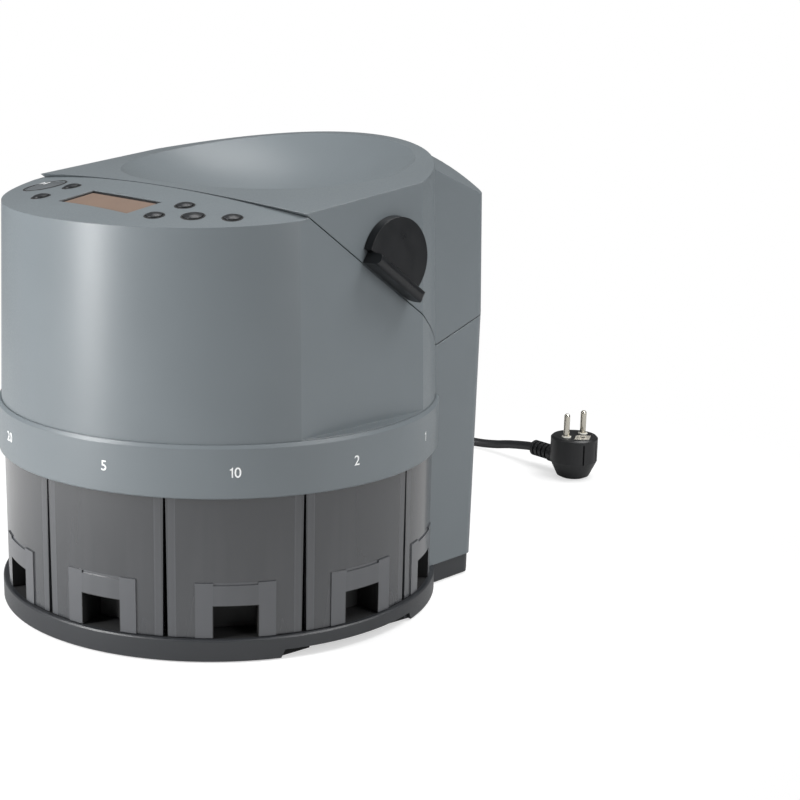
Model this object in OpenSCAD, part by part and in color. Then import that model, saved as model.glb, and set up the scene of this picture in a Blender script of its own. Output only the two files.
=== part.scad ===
// Desktop coin sorter: a drum of eight wedge drawers under a sorting deck, with a
// tilted control panel, a hinged hopper cover and a rear column for the electronics.
// Millimetres. The origin is on the drum axis at the surface that the sorter stands on.
// +Z is up, the control panel looks to -Y and the latch knob is on the +X side.

/* [Drum] */
// Outer radius of the label ring and of the base tray
drum_r = 140; // [130:0.5:150]
// Thickness of the label ring round the upper housing
ring_wall = 2.4; // [2:0.1:4]
// Draft of the walls of the upper housing, degrees
shell_draft = 1.75; // [1:0.05:2.5]
// Height of the base tray
base_h = 13.6; // [11:0.1:17]
// Height of the openings between the feet of the base tray
foot_gap_h = 5.5; // [3:0.1:7]
// Height of the label ring
ring_h = 31.5; // [26:0.1:38]
// Thickness of the moulded walls
wall = 2.6; // [2:0.1:3]
// Depth of the two flat side facets inside the round of the upper housing
facet_in = 10.3; // [8:0.1:14]

/* [Top] */
// Height of the hopper top above the table, on the drum axis
top_z = 271.8; // [262:0.1:285]
// Rise of the hopper top towards the rear, degrees
cover_tilt = 6.4; // [4:0.1:9]
// Rise of the control panel towards the rear, degrees
panel_tilt = 9.6; // [8:0.1:12]
// Radius of the side to side crown of the hopper top
cover_crown = 1156; // [900:1:1400]
// Radius of the side to side crown of the control panel
panel_crown = 790; // [650:1:1000]
// Distance of the top of the cover seam in front of the drum axis
seam_front = 55.3; // [52:0.1:60]
// Fall of the cover seam across the facets, degrees
seam_fall = 35; // [32:0.1:38]
// Width of the cover seam
seam_gap = 0.8; // [0.5:0.1:1.4]

/* [Hopper bowl] */
// Depth of the dished bowl below the hopper top
bowl_depth = 31.5; // [27:0.1:33]
// Radius of the bowl's floor from front to rear
bowl_r = 136; // [130:0.5:146]
// Radius of the bowl's floor from side to side
bowl_side_r = 197; // [185:0.5:215]
// Distance of the bowl's centre behind the drum axis
bowl_rear = 39; // [36:0.5:42]
// Radius of the throat at the bottom of the bowl
throat_r = 34; // [28:0.5:40]

/* [Rear column] */
// Width of the rear column
col_w = 204; // [196:1:208]
// How far the column's rear face stands behind the drum, at the seam
col_rear = 1.1; // [-2:0.1:6]
// Lean of the rear face below the seam, degrees
col_lean = 1.45; // [0:0.05:3]
// Radius of the rounded column edges
col_round = 9; // [6:0.5:12]
// Radius of the side to side crown of the column's top
col_arch = 200; // [170:1:240]
// Fall of the column's top towards the rear, degrees
col_fall = 22; // [18:0.5:26]

/* [Drawers] */
// Height of a coin drawer
drawer_h = 84.3; // [74:0.1:90]
// Distance of the drawer fronts inside the face of the label ring
drawer_back = 3.5; // [2:0.1:8]
// Inner radius of the drawers
drawer_in = 60; // [57:0.5:70]
// Angle from one drawer to the next, degrees
drawer_pitch = 34.5; // [32:0.1:34.5]
// Wall thickness of the drawers
drawer_wall = 2.2; // [1.6:0.1:2.8]
// Width of the finger notch
notch_w = 26; // [20:0.5:32]
// Height of the finger notch
notch_h = 19.5; // [15:0.5:24]
// Depth of the finger pocket behind the notch
pocket_d = 18; // [14:0.5:26]

/* [Sorting mechanism] */
// Radius of the track that the coins travel on, at the middle of the sorting holes
track_r = 102; // [98:0.5:102]
// Radius of the centre core
core_r = 46; // [44:0.5:48]
// Radius of the drive shaft
shaft_r = 4; // [3:0.1:5]
// Tooth module of the drive gears
gear_m = 1; // [0.9:0.02:1.04]
// Radius of the drive motor can
motor_r = 12; // [9:0.5:12.5]
// Radial clearance of a running fit
run_fit = 0.05; // [0.03:0.01:0.08]

/* [Panel] */
// Width of the display opening
disp_w = 64; // [54:0.5:66]
// Depth of the display opening from front to rear
disp_d = 26.5; // [20:0.5:28]
// Radius of the large start key
start_r = 12.5; // [10:0.1:13.5]
// Radius of a small key
key_r = 4.7; // [4.2:0.1:6.2]
// Height of a key above the panel
key_up = 1.8; // [1.4:0.1:2.6]
// Travel of a key
key_travel = 1.2; // [0.8:0.1:1.4]

/* [Latch knob] */
// Radius of the knob's face
knob_r = 25; // [22:0.5:27]
// Thickness of the knob's disc
knob_h = 5.3; // [5:0.1:8]
// Height of the knob's bar above the facet
bar_h = 13; // [11:0.1:16]
// Width of the knob's bar
bar_w = 7.2; // [6:0.1:8]

/* [Cord] */
// Diameter of the mains cord
cord_d = 7; // [6:0.1:7.2]
// Radius of the plug's body
plug_r = 19; // [17.5:0.1:20]

/* [Hidden] */
$fn = 96;

// Colours
housing_grey = [0.45, 0.48, 0.49];
base_grey = [0.25, 0.26, 0.27];
smoke = [0.36, 0.37, 0.38, 0.75];
black = [0.13, 0.14, 0.15];
key_grey = [0.2, 0.21, 0.22];
steel = [0.74, 0.75, 0.76];
pin_metal = [0.8, 0.78, 0.68];
board_green = [0.1, 0.32, 0.2];
inner_grey = [0.62, 0.64, 0.65];
white_plastic = [0.85, 0.86, 0.85];
rubber = [0.09, 0.09, 0.09];
lcd_tint = [0.55, 0.47, 0.42];

eps = 0.01;
far = 420;
clear = 0.3;

// Heights of the stack
rest_gap = 0.6;
plate_t = 5.6;
drawer_z = base_h + 0.5;
drawer_top = drawer_z + drawer_h;
ring_z = drawer_top + 0.6;
ring_top = ring_z + ring_h;
lip_t = 2;
flange_z = ring_z + lip_t;
flange_t = 2;
shell_z = flange_z + flange_t;
shell_r = drum_r - ring_wall;
drawer_r = drum_r - drawer_back;
facet_z = ring_top + 0.6;
facet_x = shell_r - facet_in;
draft_z = ring_top - 1;

// Seam between the main housing and the hopper cover, in the plane across the drum
seam_z = top_z - tan(cover_tilt) * seam_front;
valley_y = 92;
valley_z = seam_z - tan(seam_fall) * (valley_y + seam_front);
rear_rise = 18;
hinge_off = -0.4;
col_back = drum_r + col_rear;
hinge_y = col_back + hinge_off;
hinge_z = valley_z + tan(rear_rise) * (col_back - valley_y);
seam_top_z = seam_z + tan(seam_fall) * (far / 2 - seam_front);

// Rear column
col_x = col_w / 2;
col_from = 89;
cover_from = col_from - 6;
arch_y = col_back - 50;
arch_z = top_z + 30.7;
top_lean = 2.2;
vee_a = 132.5;

// Drawers
end_a = 131;
side_gap = 0.7;
side_draft = 0.55;
pad_t = 0.8;
pad_w = 10.5;
pad_up = 14;
floor_t = 2;

// Sorting mechanism
deck_z = shell_z + 15;
deck_t = 3;
deck_r = shell_r - wall - 1.6;
guard_r = drum_r - 24;
guard_h = 30;
guard_t = 3;
disc_z = deck_z + deck_t + 1;
disc_t = 4;
disc_r = drum_r - 58;
finger_r = guard_r - 3;
gear_teeth = 45;
pinion_teeth = 15;
gear_dist = gear_m * (gear_teeth + pinion_teeth) / 2;
gear_z = flange_z + 3;
gear_t = 8;
collar_r = 7;
core_t = 3;
core_top_t = 4;
core_top_r = core_r + 6;
boss_r = 9;
boss_d = 18;
motor_h = 52;
motor_shaft_r = 1.5;
coin_d = [25.75, 24.25, 23.25, 22.25, 21.25, 19.75, 18.75, 16.25];
coin_play = 0.6;
chute_r = 16;

// Panel
board_d = 17;
board_t = 1.6;
switch_h = 2.5;
glass_down = 4;
glass_t = 1.4;
disp_x = 6.6;
disp_y = -92.4;
flange_up = 0.5;
key_flange = 1.5;
last_key_in = 47;
KEYS = [
    [-80, -75.3, start_r],
    [-51.4, -76, key_r],
    [-49.4, -100.4, key_r],
    [55.4, -77, key_r],
    [55.4, -99.4, key_r],
    [74, -87.2, key_r + 0.9],
    [drum_r - last_key_in, -75, key_r]
];
POSTS = [[-66, -98], [-30, -72], [46, -106], [36, -70]];
post_r = 3;

// Latch knob, on the +X facet just above the seam
knob_y = 24.3;
knob_back = 0.6;
seam_at_knob = seam_z - tan(seam_fall) * (knob_y + seam_front);
knob_drop = 14.3;
knob_z = seam_at_knob + (knob_drop + seam_gap / 2) / cos(seam_fall);
knob_off = 0.4;
knob_x = facet_x - tan(shell_draft) * (knob_z - facet_z);
bar_from = -21;
bar_to = 26.8;
pivot_r = 5;
cam_l = 21;
cam_w = 9;
cam_t = 4;

// Rear cover
cover_w = 150;
cover_low = 24;
cover_high = hinge_z - 24;
cover_lug = 9;

// Screws
screw_r = 1.6;
head_r = 3.1;
head_t = 2.2;

// Cord: exit from the rear cover, coil behind the column, tail to the plug
gland_x = -60;
gland_z = 40;
gland_l = 24;
unit_in = 45.1;
main_board_in = 41.1;
gland_y = col_back - (hinge_z - gland_z) * tan(col_lean);
tie_t = 0.8;
lift = tie_t + 0.2;
cord_z = cord_d / 2 + lift;
coil_turns = 3;
coil_pitch = 7.6;
coil_in = 28.5;
coil_out = coil_in + coil_turns * coil_pitch;
coil_x = gland_x - coil_out;
coil_y = 250;
coil_end = 90;
coil_rings = 24;
layer_h = 7.6;
plug_x = 10.5;
plug_y = 370.5;
plug_turn = -7;
plug_h = 34;
plug_cord_z = 14;
relief_from = -21;
relief_to = -44;

// Shapes that several pieces share

// Solid of a side profile given as [y, z] points, across the whole width
module across(points) {
    rotate([90, 0, 90])
        linear_extrude(height = far, center = true)
            polygon(points);
}

// Space above the cover seam
module above_seam(gap) {
    across([
        [-far / 2, seam_top_z + gap],
        [valley_y, valley_z + gap],
        [far / 2, valley_z + tan(rear_rise) * (far / 2 - valley_y) + gap],
        [far / 2, seam_top_z + far],
        [-far / 2, seam_top_z + far]
    ]);
}

// Space below the cover seam
module below_seam(gap) {
    across([
        [-far / 2, seam_top_z - gap],
        [valley_y, valley_z - gap],
        [far / 2, valley_z + tan(rear_rise) * (far / 2 - valley_y) - gap],
        [far / 2, -far],
        [-far / 2, -far]
    ]);
}

// Crowned space under a tilted top, taken in by a distance
module crown(tilt, radius, inset) {
    translate([0, -seam_front, seam_z])
        rotate([tilt, 0, 0])
            translate([0, 0, -radius])
                rotate([90, 0, 0])
                    cylinder(r = radius - inset, h = 2 * far, center = true);
}

// Upper drum with its two side facets, taken in by a distance
module drum(inset) {
    foot_x = shell_r - inset;
    flat_x = facet_x - inset;
    flat_z = facet_z - inset;
    narrow = tan(shell_draft);
    difference() {
        rotate_extrude()
            polygon([
                [0, shell_z],
                [foot_x, shell_z],
                [foot_x, draft_z],
                [foot_x - narrow * (far - draft_z), far],
                [0, far]
            ]);
        for (side = [-1, 1])
            rotate([90, 0, 0])
                linear_extrude(height = far, center = true)
                    polygon([
                        [side * flat_x, flat_z],
                        [side * far, flat_z],
                        [side * far, far + 1],
                        [side * (flat_x - narrow * (far + 1 - flat_z)), far + 1]
                    ]);
    }
}

// Plan of the rear column with rounded rear corners, taken in by a distance
module column_plan(inset) {
    half = col_x - inset;
    rear = col_back - inset;
    round_r = col_round - inset;
    translate([-half, 0])
        square([2 * half, rear - round_r]);
    translate([-half + round_r, 0])
        square([2 * (half - round_r), rear]);
    for (side = [-1, 1])
        translate([side * (half - round_r), rear - round_r])
            circle(r = round_r);
}

// Rear column prism, leaning about the line where the seam meets the rear face
module column_prism(inset, lean) {
    translate([0, col_back, hinge_z])
        rotate([lean, 0, 0])
            translate([0, -col_back, -far / 2])
                linear_extrude(height = far)
                    column_plan(inset);
}

// Crowned top of the column, falling to the rear, taken in by a distance
module column_arch(inset) {
    translate([0, arch_y, arch_z])
        rotate([-col_fall, 0, 0])
            translate([0, 0, -col_arch])
                rotate([90, 0, 0])
                    cylinder(r = col_arch - inset, h = 2 * far, center = true);
}

// Rear wedge of the drum, behind the end drawers
module rear_wedge(angle, back, z0, z1) {
    reach = far;
    translate([0, back, z0])
        linear_extrude(height = z1 - z0)
            polygon([
                [0, 0],
                [reach * sin(angle), -reach * cos(angle)],
                [0, 2 * reach],
                [-reach * sin(angle), -reach * cos(angle)]
            ]);
}

// Everything behind a plane across the drum
module behind(y, z0, z1) {
    translate([-far / 2, y, z0])
        cube([far, far, z1 - z0]);
}

// Dished bowl of the hopper, grown by a distance: an arc turned about an axis above the cover
module bowl(grow) {
    inner = bowl_side_r - bowl_depth - 40;
    translate([0, -seam_front, seam_z])
        rotate([cover_tilt, 0, 0])
            translate([0, (bowl_rear + seam_front) / cos(cover_tilt), bowl_side_r - bowl_depth])
                rotate([90, 0, 0])
                    rotate_extrude()
                        intersection() {
                            translate([bowl_side_r - bowl_r, 0])
                                circle(r = bowl_r + grow);
                            translate([inner, -far / 2])
                                square([far, far]);
                        }
}

// Frame on the control panel: its +Z leaves the panel squarely at a place in plan
module on_panel(x, y) {
    translate([0, -seam_front, seam_z])
        rotate([panel_tilt, 0, 0])
            translate([0, (y + seam_front) / cos(panel_tilt), -panel_crown])
                rotate([0, asin(x / panel_crown), 0])
                    translate([0, 0, panel_crown])
                        children();
}

// Flat frame at the level of the panel board
module on_board(x, y) {
    translate([0, -seam_front, seam_z])
        rotate([panel_tilt, 0, 0])
            translate([x, (y + seam_front) / cos(panel_tilt), -board_d])
                children();
}

// Frame of the leaning rear face: its +Z points to the rear
module on_rear(x, z) {
    translate([0, col_back, hinge_z])
        rotate([-col_lean, 0, 0])
            translate([x, 0, (z - hinge_z) / cos(col_lean)])
                rotate([-90, 0, 0])
                    children();
}

// Turns a radial frame, +X outwards, to an angle counted from the front
module at_angle(angle) {
    rotate([0, 0, angle - 90])
        children();
}

function drawer_from(i) = i == 0 ? -end_a : (i - 4) * drawer_pitch;
function drawer_to(i) = i == 7 ? end_a : (i - 3) * drawer_pitch;
function drawer_mid(i) = (drawer_from(i) + drawer_to(i)) / 2;
function drawer_half(i) = (drawer_to(i) - drawer_from(i)) / 2;

// Base

FEET = [
    [drum_r - 24, 40], [drum_r - 24, -40], [drum_r - 24, 115], [drum_r - 24, -115],
    [drum_r - 8, 150], [drum_r - 8, -150]
];
foot_r = 8;
foot_t = 2.6;
skirt_w = 9;
gap_from = 65;
gap_to = 103;
CORE_SCREWS = [30, 150, 270];
core_screw_r = 36;

module base_column() {
    intersection() {
        column_prism(1.2, -col_lean);
        behind(col_from, rest_gap, base_h);
    }
}

module base_tray() {
    color(base_grey)
        difference() {
            union() {
                translate([0, 0, rest_gap])
                    cylinder(r = drum_r, h = base_h - rest_gap - 0.8);
                translate([0, 0, base_h - 0.8])
                    cylinder(r1 = drum_r, r2 = drum_r - 0.8, h = 0.8);
                base_column();
                drawer_rails();
            }
            difference() {
                translate([0, 0, -1])
                    cylinder(r = drum_r - skirt_w, h = base_h - plate_t + 1);
                foot_bosses();
                rotate_extrude()
                    translate([core_r + 10, 0])
                        square([3, base_h]);
            }
            for (foot = FEET)
                at_angle(foot[1])
                    translate([foot[0], 0, -1])
                        cylinder(r = foot_r + clear, h = foot_t + 1);
            for (side = [-1, 1])
                foot_opening(side);
            for (angle = CORE_SCREWS)
                at_angle(angle)
                    translate([core_screw_r, 0, -1])
                        cylinder(r = screw_r + 0.3, h = base_h + 2);
        }
}

// Low rails between the drawers
module drawer_rails() {
    for (i = [1 : 7])
        at_angle(drawer_from(i))
            translate([drawer_in + 4, -0.6, base_h - eps])
                cube([drawer_r - drawer_in - 10, 1.2, 3]);
}

module foot_bosses() {
    for (foot = FEET)
        at_angle(foot[1])
            translate([foot[0], 0, foot_t])
                cylinder(r = foot_r + 1.5, h = base_h);
}

// Opening between two feet of the skirt, with slanted ends
module foot_opening(side) {
    mid = side * (gap_from + gap_to) / 2;
    half = (drum_r + 10) * tan((gap_to - gap_from) / 2);
    at_angle(mid)
        translate([drum_r - skirt_w - 3, 0, 0])
            rotate([90, 0, 90])
                linear_extrude(height = 40)
                    polygon([
                        [-half, -1],
                        [half, -1],
                        [half - 3, foot_gap_h],
                        [-half + 3, foot_gap_h]
                    ]);
}

module rubber_feet() {
    color(rubber)
        for (foot = FEET)
            at_angle(foot[1])
                translate([foot[0], 0, 0])
                    rotate_extrude()
                        polygon([[0, 0], [foot_r - 0.8, 0], [foot_r, 0.8], [foot_r, foot_t], [0, foot_t]]);
}

// Label ring and the plate inside it

module label_ring() {
    inner = shell_r + run_fit;
    color(housing_grey)
        difference() {
            rotate_extrude()
                polygon([
                    [inner - 2.2, ring_z],
                    [drum_r - 0.6, ring_z],
                    [drum_r, ring_z + 0.6],
                    [drum_r, ring_top - 2],
                    [drum_r - 1.4, ring_top],
                    [inner, ring_top],
                    [inner, flange_z],
                    [inner - 2.2, flange_z]
                ]);
            translate([0, far / 2, ring_z + ring_h / 2])
                cube([col_w + 2.4, far, ring_h + 2], center = true);
        }
}

module chute_plate() {
    color(inner_grey)
        difference() {
            union() {
                translate([0, 0, flange_z])
                    cylinder(r = shell_r, h = flange_t);
                translate([0, 0, ring_z])
                    cylinder(r = shell_r - 2.2 - clear, h = lip_t + eps);
            }
            translate([0, 0, ring_z - 1])
                cylinder(r = core_top_r + 0.4, h = lip_t + 1);
            cylinder(r = core_r, h = far);
            for (i = [0 : 7])
                at_angle(drawer_mid(i))
                    translate([track_r, 0, ring_z - 1])
                        cylinder(r = chute_r, h = lip_t + flange_t + 2);
            rear_wedge(vee_a - 0.6, 0, 0, far);
            behind(col_from - 0.5, 0, far);
        }
}

// Core that carries the drive, in the middle of the drawers

module centre_core() {
    core_top = flange_z;
    color(inner_grey)
        difference() {
            union() {
                translate([0, 0, base_h])
                    cylinder(r = core_r, h = core_top - base_h - core_top_t);
                translate([0, 0, core_top - core_top_t])
                    cylinder(r = core_top_r, h = core_top_t);
            }
            difference() {
                translate([0, 0, base_h + 4])
                    cylinder(r = core_r - core_t, h = core_top - base_h - core_top_t - 4);
                translate([0, 0, core_top - core_top_t - boss_d])
                    cylinder(r = boss_r, h = boss_d + 1);
                for (angle = CORE_SCREWS)
                    at_angle(angle)
                        translate([core_screw_r, 0, base_h])
                            cylinder(r = 4.5, h = 18);
            }
            translate([0, 0, core_top - core_top_t - boss_d - 1])
                cylinder(r = shaft_r + run_fit, h = far);
            translate([0, gear_dist, core_top - core_top_t - 1])
                cylinder(r = 5, h = far);
            for (angle = CORE_SCREWS)
                at_angle(angle)
                    translate([core_screw_r, 0, base_h - 1])
                        cylinder(r = screw_r + 0.02, h = 14);
        }
}

// Housing

module column_low(inset) {
    intersection() {
        column_prism(inset, -col_lean);
        union() {
            rear_wedge(vee_a, inset * 1.4, base_h, shell_z - inset);
            behind(col_from + inset, base_h, far);
        }
    }
}

module main_housing() {
    color(housing_grey) {
        difference() {
            union() {
                intersection() {
                    drum(0);
                    crown(panel_tilt, panel_crown, 0);
                    below_seam(seam_gap / 2);
                }
                intersection() {
                    column_low(0);
                    below_seam(seam_gap / 2);
                }
                housing_knuckles();
            }
            difference() {
                intersection() {
                    drum(wall);
                    crown(panel_tilt, panel_crown, wall);
                }
                panel_posts();
            }
            difference() {
                intersection() {
                    column_prism(wall, -col_lean);
                    union() {
                        rear_wedge(vee_a, wall * 1.4, -1, shell_z - wall);
                        behind(col_from + wall, -1, far);
                    }
                }
                translate([0, 0, shell_z - wall])
                    cylinder(r = shell_r, h = far);
                cylinder(r = core_top_r + 1 + wall, h = far);
                cover_lugs();
            }
            translate([0, 0, -1])
                cylinder(r = core_top_r + 0.8, h = shell_z + 2);
            rear_opening();
            panel_cuts();
            hinge_relief(cover_spans());
            hinge_bore();
            panel_post_holes();
        }
    }
}

// Opening of the rear face and the lugs that its cover seats on
module rear_opening() {
    on_rear(0, (cover_low + cover_high) / 2)
        translate([0, 0, -wall / 2])
            cube([cover_w, cover_high - cover_low, wall + 4], center = true);
}

lug_out = 2;

module cover_lugs() {
    for (side = [-1, 1])
        for (z = [cover_low + 5, cover_high - 5])
            on_rear(side * (cover_w / 2 - 5), z)
                translate([0, 0, -wall - 5])
                    difference() {
                        translate([side * lug_out, (z < hinge_z / 2 ? 1 : -1) * lug_out, 0])
                            cube([cover_lug + 2 * lug_out, cover_lug + 2 * lug_out, 10], center = true);
                        translate([0, 0, -6])
                            cylinder(r = screw_r + 0.02, h = 20);
                    }
}

// Hinge knuckles on the rear face
knuckle_r = 3.8;
pin_r = 1.75;
pin_l = 174;

function cover_spans() = [[-62, -34], [34, 62]];
function housing_spans() = [[-88, -63], [63, 88]];

module knuckle(span, down) {
    translate([span[0], hinge_y, hinge_z])
        rotate([0, 90, 0])
            cylinder(r = knuckle_r, h = span[1] - span[0]);
    translate([span[0], col_back - wall, down ? hinge_z - 6 : hinge_z + 1])
        cube([span[1] - span[0], wall, 5]);
}

module housing_knuckles() {
    for (span = housing_spans())
        knuckle(span, true);
}

module cover_knuckles() {
    for (span = cover_spans())
        knuckle(span, false);
}

module hinge_relief(spans) {
    for (span = spans)
        translate([span[0] - 0.5, hinge_y, hinge_z])
            rotate([0, 90, 0])
                cylinder(r = knuckle_r + 0.5, h = span[1] - span[0] + 1);
}

module hinge_bore() {
    translate([0, hinge_y, hinge_z])
        rotate([0, 90, 0])
            cylinder(r = pin_r + run_fit, h = pin_l + 1, center = true);
}

module hinge_pin() {
    color(steel)
        translate([0, hinge_y, hinge_z])
            rotate([0, 90, 0])
                cylinder(r = pin_r, h = pin_l, center = true);
}

// Holes of the panel for the display and the keys
module panel_cuts() {
    on_panel(disp_x, disp_y)
        cube([disp_w, disp_d, 4 * wall], center = true);
    for (key = KEYS)
        on_panel(key[0], key[1])
            translate([0, 0, -3 * wall])
                cylinder(r = key[2] + clear, h = 6 * wall);
}

module panel_posts() {
    for (post = POSTS)
        on_board(post[0], post[1])
            cylinder(r = post_r, h = board_d);
}

module panel_post_holes() {
    for (post = POSTS)
        on_board(post[0], post[1])
            translate([0, 0, -1])
                cylinder(r = screw_r + 0.02, h = 9);
}

// Cover plate of the rear face, with the cord's exit
module rear_cover() {
    h = cover_high - cover_low;
    color(housing_grey)
        difference() {
            on_rear(0, (cover_low + cover_high) / 2)
                translate([0, 0, -wall / 2])
                    cube([cover_w - 2 * clear, h - 2 * clear, wall], center = true);
            rear_screw_holes();
            at_gland()
                translate([0, 0, -3 * wall])
                    cylinder(r = cord_d / 2 + 2 + run_fit, h = 6 * wall);
            for (i = [-6 : 6])
                on_rear(i * 8, cover_high - 22)
                    translate([0, 0, -wall])
                        cube([3, 22, 4 * wall], center = true);
        }
}

module rear_screw_holes() {
    for (side = [-1, 1])
        for (z = [cover_low + 5, cover_high - 5])
            on_rear(side * (cover_w / 2 - 5), z)
                translate([0, 0, -2 * wall])
                    cylinder(r = screw_r + 0.3, h = 4 * wall);
}

// Tray that closes the electronics behind the control panel
module electronics_tray() {
    tray_z = seam_z - 66;
    tray_y = -seam_front + 1.7;
    color(inner_grey)
        intersection() {
            union() {
                translate([-far / 2, tray_y - 2.2, tray_z])
                    cube([far, 2.2, 57]);
                translate([-far / 2, -far, tray_z])
                    cube([far, far + tray_y, 2.2]);
            }
            drum(wall + run_fit);
            crown(panel_tilt, panel_crown, wall + 1);
        }
}

// Hopper cover

module cover_shape(inset) {
    intersection() {
        union() {
            drum(inset);
            intersection() {
                column_prism(inset, top_lean);
                column_arch(inset);
                behind(cover_from + inset, 0, far);
            }
        }
        crown(cover_tilt, cover_crown, inset);
    }
}

module hopper_cover() {
    color(housing_grey)
        difference() {
            union() {
                difference() {
                    intersection() {
                        cover_shape(0);
                        above_seam(seam_gap / 2);
                    }
                    difference() {
                        cover_shape(wall);
                        bowl(wall);
                        latch_boss();
                    }
                }
                throat(throat_r + wall);
                cover_knuckles();
            }
            bowl(0);
            translate([0, 0, -eps])
                throat(throat_r);
            throat_mouth();
            hinge_relief(housing_spans());
            hinge_bore();
            latch_bore();
        }
}

// Throat that drops the coins on the sorting disc
module throat(radius) {
    low = valley_z + 30;
    high = seam_z + tan(cover_tilt) * (bowl_rear + seam_front) - bowl_depth;
    translate([0, bowl_rear, low])
        cylinder(r = radius, h = high - low);
}

// Opening of the throat through the floor of the bowl
module throat_mouth() {
    translate([0, bowl_rear, valley_z + 30])
        cylinder(r = throat_r, h = far);
}

// Frame of the latch: its +X leaves the facet squarely, from a distance along that line
module on_facet(along) {
    translate([knob_x, knob_y, knob_z])
        rotate([0, -shell_draft, 0])
            translate([along, 0, 0])
                children();
}

module latch_boss() {
    on_facet(-8)
        rotate([0, 90, 0])
            cylinder(r = pivot_r + 3, h = 8);
}

module latch_bore() {
    on_facet(-20)
        rotate([0, 90, 0])
            cylinder(r = pivot_r + run_fit, h = 40);
}

// Latch knob with its bar, and the cam on the inner end of its pivot

module on_knob() {
    on_facet(knob_off)
        rotate([-seam_fall, 0, 0])
            rotate([90, 0, 90])
                children();
}

module latch_knob() {
    drop = knob_drop;
    color(black)
        on_knob() {
            difference() {
                cylinder(r1 = knob_r + knob_back, r2 = knob_r, h = knob_h);
                translate([-far / 2, -far - drop + bar_w, -1])
                    cube([far, far, far]);
            }
            bar_shape(drop);
            translate([0, 0, -8 - knob_off - 0.4])
                cylinder(r = pivot_r, h = 8 + knob_off + 1);
        }
}

// Bar along the chord of the knob, with a rounded ridge and a rounded free end
module bar_shape(drop) {
    ridge = bar_w / 2;
    intersection() {
        translate([bar_from, -drop, 0])
            cube([bar_to - bar_from, bar_w, bar_h]);
        translate([bar_from - 1, -drop + ridge, 0])
            rotate([90, 0, 90])
                linear_extrude(height = bar_to - bar_from + 2) {
                    translate([-ridge, 0])
                        square([bar_w, bar_h - ridge]);
                    translate([0, bar_h - ridge])
                        circle(r = ridge);
                }
        translate([0, -drop + bar_w + 1, 0])
            rotate([90, 0, 0])
                linear_extrude(height = bar_w + 2) {
                    translate([bar_from, 0])
                        square([bar_to - bar_from - 5, bar_h]);
                    translate([bar_from, 5])
                        square([bar_to - bar_from, bar_h - 10]);
                    translate([bar_to - 5, 5])
                        circle(r = 5);
                    translate([bar_to - 5, bar_h - 5])
                        circle(r = 5);
                }
    }
}

module latch_cam() {
    color(black)
        on_facet(-8 - 0.4 - cam_t)
            rotate([-seam_fall, 0, 0])
                rotate([90, 0, 90])
                    difference() {
                        union() {
                            cylinder(r = pivot_r + 2, h = cam_t);
                            translate([-cam_w / 2, -cam_l, 0])
                                cube([cam_w, cam_l, cam_t]);
                        }
                        translate([0, 0, -1])
                            cylinder(r = 1.5, h = cam_t + 2);
                    }
}

// Drawers

// Space between the two side walls of a drawer, in its radial frame
module drawer_wedge(half, inset) {
    intersection_for (side = [-1, 1])
        rotate([0, 0, side * half])
            translate([0, -side * (side_gap + inset), drawer_top])
                rotate([-side * side_draft, 0, 0])
                    translate([0, side > 0 ? -far : 0, -far / 2])
                        cube([far, far, far]);
}

module drawer_body(half, inset, z0, z1) {
    intersection() {
        translate([0, 0, z0])
            difference() {
                cylinder(r = drawer_r - inset, h = z1 - z0);
                translate([0, 0, -1])
                    cylinder(r = drawer_in + inset, h = z1 - z0 + 2);
            }
        drawer_wedge(half, inset);
    }
}

// Finger pocket behind the notch
module pocket(grow, deep, high) {
    translate([drawer_r - deep, -notch_w / 2 - grow, drawer_z - 1])
        cube([deep + 5, notch_w + 2 * grow, high + 1]);
}

// Raised pads beside the notch and the panel above it
module notch_pads() {
    intersection() {
        difference() {
            translate([0, 0, drawer_z])
                cylinder(r = drawer_r + pad_t, h = notch_h + pad_up);
            cylinder(r = drawer_r - drawer_wall / 2, h = far);
        }
        union() {
            for (side = [-1, 1])
                translate([0, side * (notch_w / 2 + pad_w / 2) - pad_w / 2, 0])
                    cube([far, pad_w, far]);
            translate([0, -notch_w / 2 - 1, drawer_z + notch_h])
                cube([far, notch_w + 2, pad_up - 1.5]);
        }
    }
}

module drawer(i) {
    half = drawer_half(i);
    color(smoke)
        at_angle(drawer_mid(i))
            difference() {
                union() {
                    difference() {
                        drawer_body(half, 0, drawer_z, drawer_top);
                        difference() {
                            drawer_body(half, drawer_wall, drawer_z + floor_t, drawer_top + 1);
                            pocket(drawer_wall, pocket_d + drawer_wall, notch_h + drawer_wall);
                        }
                    }
                    notch_pads();
                }
                pocket(0, pocket_d, notch_h);
            }
}

// Sorting mechanism

module sorting_deck() {
    color(inner_grey)
        difference() {
            union() {
                translate([0, 0, deck_z])
                    cylinder(r = deck_r, h = deck_t);
                translate([0, 0, shell_z])
                    cylinder(r = deck_r, h = deck_z - shell_z);
                translate([0, 0, deck_z])
                    cylinder(r = guard_r + guard_t, h = deck_t + guard_h);
            }
            translate([0, 0, shell_z - 1])
                cylinder(r = deck_r - 3, h = deck_z - shell_z + 1);
            translate([0, 0, deck_z + deck_t])
                cylinder(r = guard_r, h = far);
            cylinder(r = collar_r + 2, h = far);
            for (i = [0 : 7])
                at_angle(drawer_mid(i))
                    translate([track_r, 0, deck_z - 1])
                        cylinder(r = (coin_d[i] + coin_play) / 2, h = deck_t + 2);
        }
}

module sorting_disc() {
    fingers = 6;
    color(white_plastic)
        difference() {
            union() {
                translate([0, 0, disc_z])
                    cylinder(r = disc_r, h = disc_t);
                translate([0, 0, disc_z + disc_t])
                    cylinder(r1 = 30, r2 = 9, h = 12);
                for (i = [0 : fingers - 1])
                    rotate([0, 0, i * 360 / fingers])
                        finger();
            }
            translate([0, 0, disc_z - 1])
                cylinder(r = shaft_r, h = disc_t + 9);
        }
}

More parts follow.
